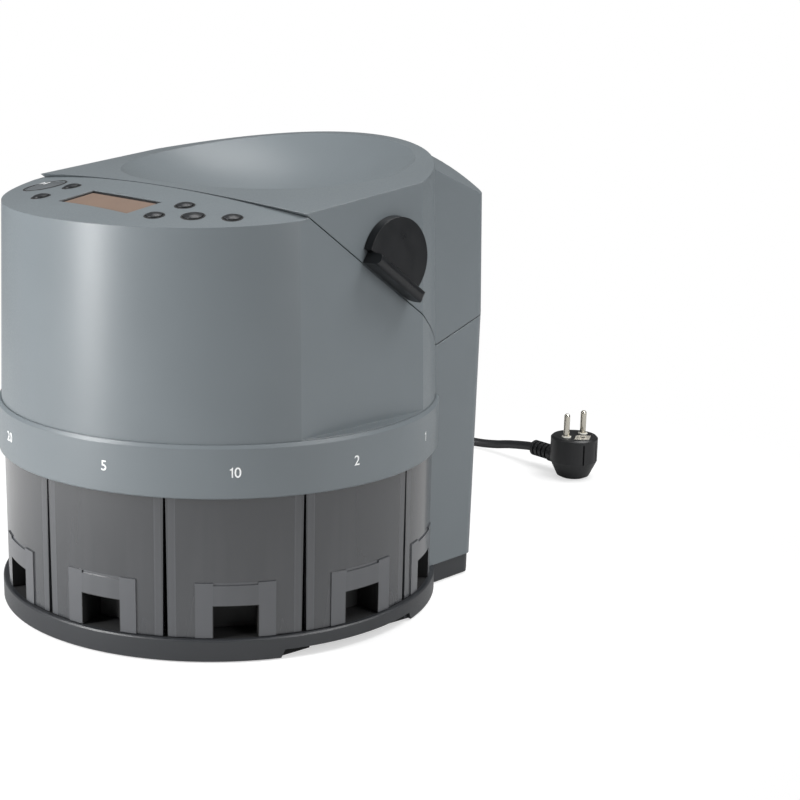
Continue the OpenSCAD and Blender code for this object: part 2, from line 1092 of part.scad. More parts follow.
// Pusher that carries a coin along the track
module finger() {
    translate([disc_r - 30, 0, disc_z])
        linear_extrude(height = disc_t)
            polygon([[0, -14], [finger_r - disc_r + 26, -4], [finger_r - disc_r + 30, 4], [0, 14]]);
}

module drive_shaft() {
    low = flange_z - core_top_t - boss_d + 1;
    color(steel) {
        translate([0, 0, low])
            cylinder(r = shaft_r, h = disc_z + disc_t + 7 - low);
        translate([0, 0, gear_z + gear_t])
            cylinder(r = collar_r, h = disc_z - gear_z - gear_t);
    }
}

// Spur gear outline with straight-flanked teeth
module gear_outline(teeth, play) {
    pitch_r = gear_m * teeth / 2;
    step = 360 / teeth;
    slim = play / pitch_r * 180 / PI;
    polygon([
        for (i = [0 : teeth - 1])
            for (p = [[-0.35, -1.25], [-0.11, 1], [0.11, 1], [0.35, -1.25]])
                let (a = i * step + p[0] * (step - 2 * slim), r = pitch_r + p[1] * gear_m)
                    [r * cos(a), r * sin(a)]
    ]);
}

module drive_gear() {
    color(white_plastic)
        translate([0, 0, gear_z])
            rotate([0, 0, 90])
                linear_extrude(height = gear_t)
                    difference() {
                        gear_outline(gear_teeth, 0.12);
                        circle(r = shaft_r);
                    }
}

module motor_pinion() {
    color(steel)
        translate([0, gear_dist, gear_z])
            rotate([0, 0, -90 + 180 / pinion_teeth])
                linear_extrude(height = gear_t)
                    difference() {
                        gear_outline(pinion_teeth, 0.12);
                        circle(r = motor_shaft_r + run_fit);
                    }
}

module drive_motor() {
    top = flange_z - core_top_t;
    color(steel)
        translate([0, gear_dist, 0]) {
            translate([0, 0, top - motor_h])
                cylinder(r = motor_r, h = motor_h);
            translate([0, 0, top - motor_h - 2])
                cylinder(r = motor_r * 0.45, h = 3);
            translate([0, 0, top])
                cylinder(r = motor_shaft_r, h = gear_z + gear_t + 1 - top);
        }
}

// Counting sensor that stands on the deck outside the guard
module coin_counter() {
    r0 = guard_r + guard_t;
    color(black)
        at_angle(168)
            translate([0, 0, deck_z + deck_t])
                intersection() {
                    difference() {
                        cylinder(r = deck_r, h = 20);
                        cylinder(r = r0 + 0.1, h = far);
                    }
                    translate([0, -15, 0])
                        cube([far, 30, far]);
                }
}

// Control panel

module panel_board() {
    color(board_green) {
        difference() {
            intersection() {
                on_board(0, -88)
                    translate([-100, -24, -board_t])
                        cube([200, 46, board_t]);
                cylinder(r = shell_r - wall - 5, h = far);
            }
            for (post = POSTS)
                on_board(post[0], post[1])
                    translate([0, 0, -board_t - 1])
                        cylinder(r = screw_r + 0.3, h = board_t + 2);
        }
        for (key = KEYS)
            on_board(key[0], key[1])
                translate([-3, -3, -eps])
                    cube([6, 6, switch_h + eps]);
    }
}

module lcd_module() {
    depth = board_d - glass_down - glass_t - crown_drop(disp_x);
    color(black)
        on_board(disp_x, disp_y)
            translate([-disp_w / 2 - 1, -disp_d / 2 - 1, 0])
                cube([disp_w + 2, disp_d + 2, depth]);
}

function crown_drop(x) = panel_crown - sqrt(panel_crown * panel_crown - x * x);

module lcd_window() {
    depth = board_d - glass_down - glass_t - crown_drop(disp_x);
    color(lcd_tint)
        on_board(disp_x, disp_y)
            translate([-disp_w / 2 - 1.6, -disp_d / 2 - 1.6, depth])
                cube([disp_w + 3.2, disp_d + 3.2, glass_t]);
}

// Key with a domed cap, a flange under the panel and a stem above its switch
module key(i) {
    k = KEYS[i];
    dome = k[2] * 2.6;
    stem = board_d - crown_drop(k[0]) - switch_h - key_travel - 0.6;
    under = wall + flange_up;
    color(key_grey)
        on_panel(k[0], k[1]) {
            intersection() {
                translate([0, 0, -under - eps])
                    cylinder(r = k[2], h = under + key_up + 1);
                translate([0, 0, key_up - dome])
                    sphere(r = dome);
            }
            translate([0, 0, -under - key_flange])
                cylinder(r = k[2] + 1.4, h = key_flange);
            translate([0, 0, -stem])
                cylinder(r = 2, h = stem - under - key_flange + eps);
        }
}

// Electronics in the rear column

module power_unit() {
    color(black)
        translate([-62, col_back - unit_in, base_h]) {
            cube([48, 28, 40]);
            translate([6, 4, 40 - eps])
                cube([36, 20, 12]);
        }
}

module main_board() {
    color(board_green)
        translate([0, col_back - main_board_in, base_h]) {
            cube([70, board_t, 76]);
            translate([10, board_t - eps, 30])
                cube([18, 3, 18]);
            translate([40, board_t - eps, 44])
                cube([22, 9, 10]);
            translate([12, board_t - eps, 56])
                cube([9, 11, 9]);
        }
}

// Fasteners

module screw(length) {
    translate([0, 0, -length])
        cylinder(r = screw_r, h = length + eps);
    cylinder(r1 = head_r, r2 = head_r * 0.8, h = head_t);
}

module screws() {
    color(steel) {
        for (side = [-1, 1])
            for (z = [cover_low + 5, cover_high - 5])
                on_rear(side * (cover_w / 2 - 5), z)
                    screw(10);
        for (angle = CORE_SCREWS)
            at_angle(angle)
                translate([core_screw_r, 0, base_h - plate_t])
                    rotate([180, 0, 0])
                        screw(plate_t + 11);
        for (post = POSTS)
            on_board(post[0], post[1])
                translate([0, 0, -board_t])
                    rotate([180, 0, 0])
                        screw(board_t + 6);
    }
}

// Cord

// Tube swept along a route, with rings square to it
function unit(v) = v / norm(v);
function heading(path, i) =
    i == 0 ? unit(path[1] - path[0]) :
    i == len(path) - 1 ? unit(path[i] - path[i - 1]) :
    unit(unit(path[i + 1] - path[i]) + unit(path[i] - path[i - 1]));
function ring_points(path, i, radius, sides) =
    let (ahead = heading(path, i), left = unit(cross([0, 0, 1], ahead)), over = cross(ahead, left))
        [for (s = [0 : sides - 1]) path[i] + radius * (cos(360 * s / sides) * left + sin(360 * s / sides) * over)];

module tube(path, radius, sides) {
    rings = len(path);
    points = [for (i = [0 : rings - 1]) each ring_points(path, i, radius, sides)];
    skin = [
        for (i = [0 : rings - 2])
            for (s = [0 : sides - 1])
                let (a = i * sides + s, b = i * sides + (s + 1) % sides)
                    each [[a, a + sides, b], [b, a + sides, b + sides]]
    ];
    near = [for (s = [1 : sides - 2]) [0, s, s + 1]];
    last = (rings - 1) * sides;
    end = [for (s = [1 : sides - 2]) [last, last + s + 1, last + s]];
    polyhedron(points, concat(skin, near, end));
}

lead_y = gland_y + gland_l;
lead_bend = 36;
lead_fall = acos(1 - (gland_z - cord_z) / (2 * lead_bend));
lead_bow = [for (i = [0 : 6]) lead_bend * [sin(lead_fall * i / 6), cos(lead_fall * i / 6) - 1]];
LEAD = concat(
    [[gland_x, lead_y, gland_z]],
    [for (bow = lead_bow) [gland_x, lead_y + 6 + bow[0], gland_z + bow[1]]],
    [for (i = [5 : -1 : 0])
        [gland_x, lead_y + 6 + 2 * lead_bow[6][0] - lead_bow[i][0], cord_z - lead_bow[i][1]]],
    [[gland_x, coil_y - cord_d, cord_z]]
);

// Coil: a spiral in on the lower layer and out again on the upper one
function ease(t) = t <= 0 ? 0 : t >= 1 ? 1 : t * t * (3 - 2 * t);
function coil_point(a) =
    let (
        turn = a / 360,
        r = coil_in + coil_pitch * abs(turn - coil_turns),
        z = cord_z + layer_h * ease((turn - coil_turns) * 2 + 0.5)
    )
        [coil_x + r * cos(a), coil_y + r * sin(a), z];
coil_sweep = 720 * coil_turns + coil_end;
coil_steps = round(coil_sweep * coil_rings / 360);
coil_last = coil_point(coil_sweep);
COIL = concat(
    [[coil_x + coil_out, coil_y - cord_d, cord_z]],
    [for (i = [0 : coil_steps]) coil_point(i * coil_sweep / coil_steps)],
    [coil_last + [-cord_d, 0, 0]]
);

// Least distance between two stretches of the coil that are more than half a turn apart
coil_gap = min([
    for (i = [0 : 2 : len(COIL) - 1])
        for (j = [i + coil_rings / 2 : 1 : len(COIL) - 1])
            norm(COIL[i] - COIL[j])
]) - cord_d;
echo(coil_gap = coil_gap);

TAIL = [
    coil_last + [-cord_d, 0, 0],
    coil_last + [-cord_d - 8, 0, 0],
    [-138, 306, 10.5],
    [-149, 313, 8],
    [-156, 323, 5.5],
    [-158, 334, 4.5],
    [-155, 345, 4.5],
    [-148, 355, 4.5],
    [-137, 366, 4.5],
    [-123, 373, 4.5],
    [-108, 377.8, 4.5],
    [-92, 380, 5],
    [-77, 380.5, 7],
    [-63, 379.5, 10],
    plug_point(relief_to - 8, plug_cord_z - 0.4),
    plug_point(relief_to, plug_cord_z)
];

function plug_point(x, z) = [plug_x + x * cos(plug_turn), plug_y + x * sin(plug_turn), z];

// Frame at the cord's exit: its +Z points to the rear, along the cord
module at_gland() {
    translate([gland_x, gland_y, gland_z])
        rotate([-90, 0, 0])
            children();
}

// Gland with a collar on each side of the rear cover and a ribbed, tapered sleeve
module cord_gland() {
    neck = cord_d / 2 + 2;
    ribs = 5;
    step = (gland_l - 4) / ribs;
    color(rubber)
        at_gland()
            rotate_extrude()
                polygon(concat(
                    [[0, -wall - 3], [neck + 2.5, -wall - 3], [neck + 2.5, -wall - 0.6],
                     [neck, -wall - 0.6], [neck, 0.6], [neck + 2.5, 0.6], [neck + 2.5, 3]],
                    [for (i = [0 : ribs - 1])
                        each [
                            [neck - i * 0.25, 4 + i * step], [neck - i * 0.25, 4 + (i + 0.6) * step],
                            [neck - 1.2 - i * 0.12, 4 + (i + 0.6) * step],
                            [neck - 1.2 - i * 0.12, 4 + (i + 1) * step]
                        ]],
                    [[0, gland_l]]
                ));
}

module cord_lead() {
    color(black)
        tube(LEAD, cord_d / 2, 10);
}

module cord_coil() {
    color(black)
        tube(COIL, cord_d / 2, 6);
}

module cord_tail() {
    color(black)
        tube(TAIL, cord_d / 2, 10);
}

// Tie round the turns of the coil
module cord_tie() {
    mid = coil_in + coil_turns * coil_pitch / 2;
    deep = (coil_turns - 0.8) * coil_pitch + cord_d + 0.8;
    high = layer_h + cord_d + 0.8;
    color(black)
        translate([coil_x, coil_y, 0])
            rotate([0, 0, 215])
                translate([mid, 0, lift + layer_h / 2 + cord_d / 2])
                    difference() {
                        cube([deep + 2 * tie_t, 10, high + 2 * tie_t - 0.4], center = true);
                        cube([deep, 11, high - 0.4], center = true);
                    }
}

// Plug, standing on its back with its pins up

module at_plug() {
    translate([plug_x, plug_y, 0])
        rotate([0, 0, plug_turn])
            children();
}

module plug_body() {
    color(black)
        at_plug() {
            difference() {
                union() {
                    rotate_extrude()
                        polygon([
                            [0, 0], [plug_r - 9, 0], [plug_r - 6, 1.5], [plug_r, 14],
                            [plug_r, plug_h - 1.5], [plug_r - 1.5, plug_h], [0, plug_h]
                        ]);
                    translate([relief_from - 4, 0, plug_cord_z])
                        rotate([0, 90, 0])
                            cylinder(r = 7.2, h = -relief_from + 4);
                    plug_relief();
                }
                for (side = [-1, 1])
                    for (y = [-7, 7])
                        translate([side * (plug_r - 1.2) - 1.5, y - 0.6, 13])
                            cube([3, 1.2, 17]);
                for (side = [-1, 1])
                    translate([0, side * 9.5, plug_h - 9])
                        cylinder(r = 2.4, h = 10);
                translate([9, 0, plug_h - 8])
                    cylinder(r = 2.6, h = 10);
                translate([0, 0, plug_h - 1])
                    earth_plate(0.2, 2);
            }
        }
}

// Ribbed strain relief of the plug
module plug_relief() {
    ribs = 5;
    run = relief_from - relief_to;
    step = run / ribs;
    translate([relief_to, 0, plug_cord_z])
        rotate([0, 90, 0])
            rotate_extrude()
                polygon(concat(
                    [[0, 0]],
                    [for (i = [0 : ribs - 1])
                        each [
                            [6.4, i * step], [6.4, (i + 0.62) * step],
                            [4.9, (i + 0.62) * step], [4.9, (i + 1) * step]
                        ]],
                    [[0, run]]
                ));
}

module plug_pins() {
    color(pin_metal)
        at_plug()
            for (side = [-1, 1])
                translate([0, side * 9.5, plug_h - 9])
                    rotate_extrude() {
                        square([2.4, 26]);
                        intersection() {
                            translate([0, 26])
                                circle(r = 2.4);
                            square([2.4, 30]);
                        }
                    }
}

// Diamond shaped earth plate with its socket
module earth_plate(grow, t) {
    linear_extrude(height = t)
        polygon([[9 - 5 - grow, 0], [9, -6.5 - grow], [9 + 5 + grow, 0], [9, 6.5 + grow]]);
}

module plug_earth() {
    color(pin_metal)
        at_plug()
            difference() {
                translate([0, 0, plug_h - 1])
                    earth_plate(0, 1);
                translate([9, 0, plug_h - 3])
                    cylinder(r = 2.2, h = 10);
            }
}

base_tray();
rubber_feet();
label_ring();
chute_plate();
centre_core();
main_housing();
rear_cover();
electronics_tray();
hopper_cover();
hinge_pin();
latch_knob();
latch_cam();
drawer(0);  // drawer_1
drawer(1);  // drawer_2
drawer(2);  // drawer_3
drawer(3);  // drawer_4
drawer(4);  // drawer_5
drawer(5);  // drawer_6
drawer(6);  // drawer_7
drawer(7);  // drawer_8
sorting_deck();
sorting_disc();
drive_shaft();
drive_gear();
motor_pinion();
drive_motor();
coin_counter();
panel_board();
lcd_module();
lcd_window();
key(0);  // key_start
key(1);  // key_1
key(2);  // key_2
key(3);  // key_3
key(4);  // key_4
key(5);  // key_5
key(6);  // key_6
power_unit();
main_board();
screws();
cord_gland();
cord_lead();
cord_coil();
cord_tie();
cord_tail();
plug_body();
plug_pins();
plug_earth();
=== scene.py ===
"""Looks of a desktop coin sorter: camera, materials, mains cord, printed numbers, screws and light.

Metres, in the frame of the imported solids: the origin is on the drum axis at the table, +Z is up,
the control panel looks to -Y and the latch knob is on the +X side.
"""
import math

import bmesh
import bpy
from mathutils import Matrix, Vector


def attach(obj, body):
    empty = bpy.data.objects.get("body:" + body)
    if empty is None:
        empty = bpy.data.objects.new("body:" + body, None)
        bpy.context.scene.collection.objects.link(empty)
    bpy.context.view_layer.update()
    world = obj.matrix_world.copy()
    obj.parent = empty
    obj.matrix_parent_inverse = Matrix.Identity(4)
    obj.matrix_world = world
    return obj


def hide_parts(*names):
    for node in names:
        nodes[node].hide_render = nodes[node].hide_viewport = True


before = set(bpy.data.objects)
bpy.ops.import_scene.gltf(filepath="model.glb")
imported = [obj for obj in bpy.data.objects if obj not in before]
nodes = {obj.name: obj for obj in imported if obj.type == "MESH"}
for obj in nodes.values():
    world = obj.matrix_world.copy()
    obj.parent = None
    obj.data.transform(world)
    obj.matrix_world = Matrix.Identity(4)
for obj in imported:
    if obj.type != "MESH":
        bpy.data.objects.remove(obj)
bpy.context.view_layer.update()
scene = bpy.context.scene
scene.view_settings.view_transform = "Standard"

MM = 0.001

# ---- Sizes of the sorter, in millimetres and degrees ----
# Label ring and its printed numbers
DRUM_R = 140.0
RING_MID_Z = 115.0
PRINT_LIFT = 0.05         # thickness of the printing ink
NUMBER_H = 5.9
NUMBER_REACH = 12         # a number is cut in strips this far to each side, to bend round the ring
RING_NUMBERS = (          # angle from the front, number
    (-111.8, "2"), (-82.6, "50"), (-51.6, "1"), (-16.8, "20"),
    (19.8, "5"), (51.6, "10"), (82.6, "2"), (111.8, "1"),
)
DIGIT_GAP = 0.13          # in heights of a digit, as is the outline of the one
FIGURE_ONE = ((0.18, 0.0), (0.32, 0.0), (0.32, 1.0), (0.22, 1.0), (0.18, 0.9), (0.11, 0.84),
              (0.0, 0.82), (0.0, 0.72), (0.18, 0.72))
FONT_CAP = 0.69           # height of the font's figures by its size
FONT_SWELL = 0.012        # how far their outline grows, in heights of a digit

# Drawers
DRAWER_R = 136.5
DRAWER_Z, DRAWER_TOP = 14.1, 98.4
DRAWER_SPANS = ((-131.0, -103.5), (-103.5, -69.0), (-69.0, -34.5), (-34.5, 0.0),
                (0.0, 34.5), (34.5, 69.0), (69.0, 103.5), (103.5, 131.0))
FRONT_T = 3.2             # what lies this near to the outside is the front of a drawer
SIDE_GAP = 0.7            # a front ends this short of its span
WALL_SHOWS = (5.2, 1.2)   # painted light where the side wall would show through the front, this far in from its end
WALL_HIGHLIGHT = (5.4, 4.8)    # painted highlight along the inner face of that wall
NOTCH_HALF, NOTCH_H = 13.0, 19.5
PAD_W, PAD_UP = 10.5, 14.0

# Control panel
SEAM_FRONT, SEAM_Z = 55.3, 265.6     # the panel meets the hopper cover here, in front of the axis
PANEL_TILT, PANEL_CROWN = 9.6, 790.0
KEY_UP, KEY_CLEAR = 1.8, 0.3
START_KEY = (-80.0, -75.3, 12.5)     # place and radius, as for the small keys
SMALL_KEYS = {
    "key_1": (-51.4, -76.0, 4.7), "key_2": (-49.4, -100.4, 4.7), "key_3": (55.4, -77.0, 4.7),
    "key_4": (55.4, -99.4, 4.7), "key_5": (74.0, -87.2, 5.6), "key_6": (93.0, -75.0, 4.7),
}
START_DOME = 2.6                     # radius of the start key's dome by its own
MARK_TRIANGLE = ((-3.2, -2.6), (1.2, 0), (-3.2, 2.6))
MARK_BAR = ((2.2, -2.6), (3.2, -2.6), (3.2, 2.6), (2.2, 2.6))
# Black rings round the keys: painted shade for the gap round each key.
SHADE_RING_SECTION = ((0.02, 0.03), (1.15, 0.03), (1.0, 0.22), (0.3, 0.26), (0.05, 0.18))
SHADE_RING_SIDES = 44
DISPLAY = (6.6, -92.4, 64.0, 26.5)   # place of its middle, width, depth
# Sections of the black lining of the display's recess, which is painted shade on its walls, and of
# its lens: inset from the recess, height over the panel
SHADE_LINING_SECTION = ((0.05, -2.9), (0.05, -0.35), (0.35, -0.2), (0.75, -0.45), (0.95, -2.9))
LENS_SECTION = ((1.1, -3.0), (1.1, -1.45), (1.4, -1.25))

# Rear column and screws
COL_REAR = 141.1          # rear face of the column at the hinge
HINGE_Z = 178.41
COL_LEAN = 1.45
SCREW_R, HEAD_R, HEAD_T = 1.6, 3.1, 2.2
HEAD_TAPER = 0.8          # top of the head by its foot
SLOT_L, SLOT_W, SLOT_DEEP = 3.6, 0.75, 1.3
HEAD_SIDES, SHANK_SIDES = 28, 16
COVER_SCREW_X, COVER_SCREW_L = 70.0, 10.0
COVER_SCREW_ZS = (29.0, HINGE_Z - 29.0)
CORE_SCREW_R, CORE_SCREW_Z, CORE_SCREW_L = 36.0, 8.0, 16.6
CORE_SCREW_ANGLES = (30, 150, 270)
BOARD_DOWN, BOARD_T, BOARD_GRIP = 17.0, 1.6, 6.0
BOARD_POSTS = ((-66.0, -98.0), (-30.0, -72.0), (46.0, -106.0), (36.0, -70.0))

# Mains cord and plug
CORD_D = 7.0
CORD_Z = 4.5              # middle of the cord where it lies on the table
GLAND_X, GLAND_Z, GLAND_L = -60.0, 40.0, 24.0
GLAND_Y = COL_REAR - (HINGE_Z - GLAND_Z) * math.tan(math.radians(COL_LEAN))
LEAD_STRAIGHT, LEAD_BEND, LEAD_STEPS = 6.0, 36.0, 6
COIL_TURNS, COIL_PITCH, COIL_IN = 3, 7.6, 28.5
COIL_OUT = COIL_IN + COIL_TURNS * COIL_PITCH
COIL_X, COIL_Y = GLAND_X - COIL_OUT, 250.0
COIL_SWEEP = 720 * COIL_TURNS + 90
COIL_STEP = 10
LAYER_H = 7.6             # from the coil's lower layer to the upper one
ROUTE_FINENESS = 3        # points of the curve for each point of the route
PLUG_X, PLUG_Y, PLUG_TURN = 10.5, 370.5, -7.0
PLUG_H = 34.0
PLUG_CORD_Z = 14.0
RELIEF_TO = -44.0
PLUG_PIN_OFF, PLUG_PIN_R = 9.5, 2.4
COLLAR_CLEAR, COLLAR_W, COLLAR_SIDES = 0.04, 1.5, 28
EARTH_X = 9.0             # middle of the earth contact, from the plug's axis
EARTH_IN, EARTH_OUT = 6.9, 9.6
EARTH_SLIM = 0.78         # the plate's width by its length


# ---- Small helpers ----
def linear(code):
    """Linear RGBA of an sRGB hex colour."""
    def channel(v):
        return v / 12.92 if v <= 0.04045 else ((v + 0.055) / 1.055) ** 2.4
    return tuple(channel(int(code[i:i + 2], 16) / 255) for i in (1, 3, 5)) + (1.0,)


def add(tree, kind, inputs=None, **settings):
    """Adds a node with its settings. Each input, by name or number, gets a plain value, or a link
    from a socket or from the first output of a node."""
    node = tree.nodes.new(kind)
    for name, value in settings.items():
        setattr(node, name, value)
    for name, value in (inputs or {}).items():
        if isinstance(value, bpy.types.Node):
            value = value.outputs[0]
        if isinstance(value, bpy.types.NodeSocket):
            tree.links.new(value, node.inputs[name])
        else:
            node.inputs[name].default_value = value
    return node


def new_material(name):
    """An empty node material and its tree."""
    material = bpy.data.materials.new(name)
    material.use_nodes = True
    material.node_tree.nodes.clear()
    return material, material.node_tree


def link_object(name, data):
    """A new object of a mesh, curve, camera or light, put in the scene."""
    piece = bpy.data.objects.new(name, data)
    scene.collection.objects.link(piece)
    return piece


def evaluated_mesh(holder):
    """Plain mesh of an object with its modifiers or outline worked out; the object goes."""
    bpy.context.view_layer.update()
    depsgraph = bpy.context.evaluated_depsgraph_get()
    mesh = bpy.data.meshes.new_from_object(holder.evaluated_get(depsgraph))
    bpy.data.objects.remove(holder)
    return mesh


def dress(material, *names):
    """Gives the solids of these nodes a material."""
    for name in names:
        for slot in nodes[name].material_slots:
            slot.material = material


def new_piece(name, work, material, body, closed=True):
    """Makes a piece of a bmesh that is in millimetres, and lets it ride a body.

    A closed piece has its faces turned outward; a flat print keeps them as they were drawn."""
    bmesh.ops.scale(work, vec=(MM, MM, MM), verts=work.verts)
    if closed:
        bmesh.ops.recalc_face_normals(work, faces=work.faces[:])
    mesh = bpy.data.meshes.new(name)
    work.to_mesh(mesh)
    work.free()
    mesh.materials.append(material)
    piece = link_object(name, mesh)
    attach(piece, body)
    return piece


def lathe_ring(work, place, section, sides):
    """Adds a closed ring: a section of (radius, height) points turned about a frame's +Z."""
    rows = []
    for s in range(sides):
        a = 2 * math.pi * s / sides
        rows.append([work.verts.new(place @ Vector((r * math.cos(a), r * math.sin(a), z)))
                     for r, z in section])
    for s in range(sides):
        here, ahead = rows[s], rows[(s + 1) % sides]
        for k in range(len(section)):
            n = (k + 1) % len(section)
            work.faces.new((here[k], ahead[k], ahead[n], here[n]))


def panel_tilt():
    """Frame of the panel's plane, at its seam with the hopper cover."""
    return (Matrix.Translation((0, -SEAM_FRONT, SEAM_Z))
            @ Matrix.Rotation(math.radians(PANEL_TILT), 4, "X"))


def along_panel(y):
    """Distance from the seam, along the tilted panel, of a place in plan."""
    return (y + SEAM_FRONT) / math.cos(math.radians(PANEL_TILT))


def on_panel(x, y):
    """Frame on the crowned panel: its +Z leaves the panel squarely at a place in plan."""
    roll = Matrix.Rotation(math.asin(x / PANEL_CROWN), 4, "Y")
    return (panel_tilt() @ Matrix.Translation((0, along_panel(y), -PANEL_CROWN)) @ roll
            @ Matrix.Translation((0, 0, PANEL_CROWN)))


# ---- Camera: the photograph's place, heading and framing ----
CAMERA_PLACE = (802.26, -713.87, 387.89)   # millimetres
CAMERA_TURN = (76.196, -1.294, 42.507)     # degrees about x, y and z
CAMERA_LENS, CAMERA_SENSOR = 76.929, 36.0
camera_data = bpy.data.cameras.new("camera")
camera_data.lens, camera_data.sensor_width = CAMERA_LENS, CAMERA_SENSOR
camera = link_object("camera", camera_data)
camera.location = [distance * MM for distance in CAMERA_PLACE]
camera.rotation_euler = [math.radians(angle) for angle in CAMERA_TURN]
scene.camera = camera


# ---- Materials, with lengths in millimetres ----
NOISE_SPAN = {"From Min": 0.3, "From Max": 0.7}   # a noise texture seldom leaves this range
CLOUD_W = 60.0                           # from patch to patch of the uneven colour
MOTTLE = 0.03                            # share by which the colour is uneven
GLOSS_SWING, TOOL_SWING = 0.05, 0.06     # how far grain and tool marks move the roughness
PAINTED_SHADE_DARK, MATT_ROUGH = 0.85, 0.5        # share of colour darkened as painted shade, and roughness gained, inside the drawers
BUMP_STRENGTH = 0.5
METAL_EDGE = 0.25                        # a metal's edges look broken by this much
# The third of these tones is painted shade for the inside of the finger notch.
SMOKE_DEEP, SMOKE_PALE, SMOKE_NOTCH_SHADE = "#333538", "#4C4E52", "#0C0D0E"
WALL_TONE, WALL_HIGHLIGHT_TONE, LINTEL_TONE = 0.45, 0.5, 0.65   # how pale they are, where the pads have 1
WALL_BLUR, EDGE_BLUR, CUT_BLUR = 0.5, 0.3, 0.2        # softness of the edges of those marks
FLOW_W, FLOW_DRAWN = 14.0, 0.06          # width of the flow lines, and how they are drawn upward
FLOW_TONE = {"To Min": -0.12, "To Max": 0.22}
FOOT_REFLECTION_TONE = {"To Min": 0.18, "To Max": -0.12}         # painted reflection, paler at the foot, from the foot of a drawer to its top
SMOKE_SHEEN = {"To Min": 0.24, "To Max": 0.4}
HOLLOW_ROUGH = 0.4                       # roughness gained inside the finger notch
SMOKE_COAT = 0.8
WALL_ALPHA = 0.72
LCD_DOT, LCD_GAP, LCD_CLOUD_W = 0.55, 0.08, 30.0


def moulded(name, colour, roughness, grain_mm, grain_depth, edge_mm=0.0, coat=0.0,
            shade_and_matt_within=0.0):
    """Moulded plastic or rubber: a fine grain in the gloss and bump, and a trace of uneven colour.

    Within the given radius of the machine's axis the colour is darkened as painted shade, as the
    drawers shade the tray there, and the moulding is made rough."""
    material, tree = new_material(name)
    place = add(tree, "ShaderNodeTexCoord").outputs["Object"]
    grain = add(tree, "ShaderNodeTexNoise",
                {"Vector": place, "Scale": 1 / (grain_mm * MM), "Detail": 3.0, "Roughness": 0.6})
    cloud = add(tree, "ShaderNodeTexNoise",
                {"Vector": place, "Scale": 1 / (CLOUD_W * MM), "Detail": 2.0})
    tint = add(tree, "ShaderNodeMapRange",
               {"Value": cloud, **NOISE_SPAN, "To Min": 1 - MOTTLE, "To Max": 1 + MOTTLE})
    shade = add(tree, "ShaderNodeVectorMath", {0: linear(colour)[:3], "Scale": tint},
                operation="SCALE")
    gloss = add(tree, "ShaderNodeMapRange",
                {"Value": grain, **NOISE_SPAN, "To Min": roughness - GLOSS_SWING,
                 "To Max": roughness + GLOSS_SWING})
    # Painted shade under the drawers: the colour is darkened there, and the roughness raised.
    if shade_and_matt_within:
        plan = add(tree, "ShaderNodeVectorMath", {0: place, 1: (1, 1, 0)}, operation="MULTIPLY")
        radius = add(tree, "ShaderNodeVectorMath", {0: plan}, operation="LENGTH").outputs["Value"]
        inside = add(tree, "ShaderNodeMath", {0: radius, 1: shade_and_matt_within * MM},
                     operation="LESS_THAN")
        painted_shade = add(tree, "ShaderNodeMath", {0: inside, 1: PAINTED_SHADE_DARK}, operation="MULTIPLY")
        left = add(tree, "ShaderNodeMath", {0: 1.0, 1: painted_shade}, operation="SUBTRACT")
        shade = add(tree, "ShaderNodeVectorMath", {0: shade, "Scale": left}, operation="SCALE")
        rougher = add(tree, "ShaderNodeMath", {0: inside, 1: MATT_ROUGH}, operation="MULTIPLY")
        gloss = add(tree, "ShaderNodeMath", {0: gloss, 1: rougher}, operation="ADD")
    relief = {"Height": grain, "Strength": BUMP_STRENGTH, "Distance": grain_depth * MM}
    if edge_mm:
        relief["Normal"] = add(tree, "ShaderNodeBevel", {"Radius": edge_mm * MM})
    bump = add(tree, "ShaderNodeBump", relief)
    shader = add(tree, "ShaderNodeBsdfPrincipled",
                 {"Base Color": shade, "Roughness": gloss, "Normal": bump, "IOR": 1.53,
                  "Coat Weight": coat, "Coat Roughness": 0.08})
    add(tree, "ShaderNodeOutputMaterial", {"Surface": shader})
    return material


def metal(name, colour, roughness, grain_mm):
    """Bare or plated metal with fine marks from the tool."""
    material, tree = new_material(name)
    place = add(tree, "ShaderNodeTexCoord").outputs["Object"]
    marks = add(tree, "ShaderNodeTexNoise",
                {"Vector": place, "Scale": 1 / (grain_mm * MM), "Detail": 4.0})
    gloss = add(tree, "ShaderNodeMapRange",
                {"Value": marks, **NOISE_SPAN, "To Min": roughness - TOOL_SWING,
                 "To Max": roughness + TOOL_SWING})
    edge = add(tree, "ShaderNodeBevel", {"Radius": METAL_EDGE * MM})
    shader = add(tree, "ShaderNodeBsdfPrincipled",
                 {"Base Color": linear(colour), "Metallic": 1.0, "Roughness": gloss,
                  "Normal": edge})
    add(tree, "ShaderNodeOutputMaterial", {"Surface": shader})
    return material


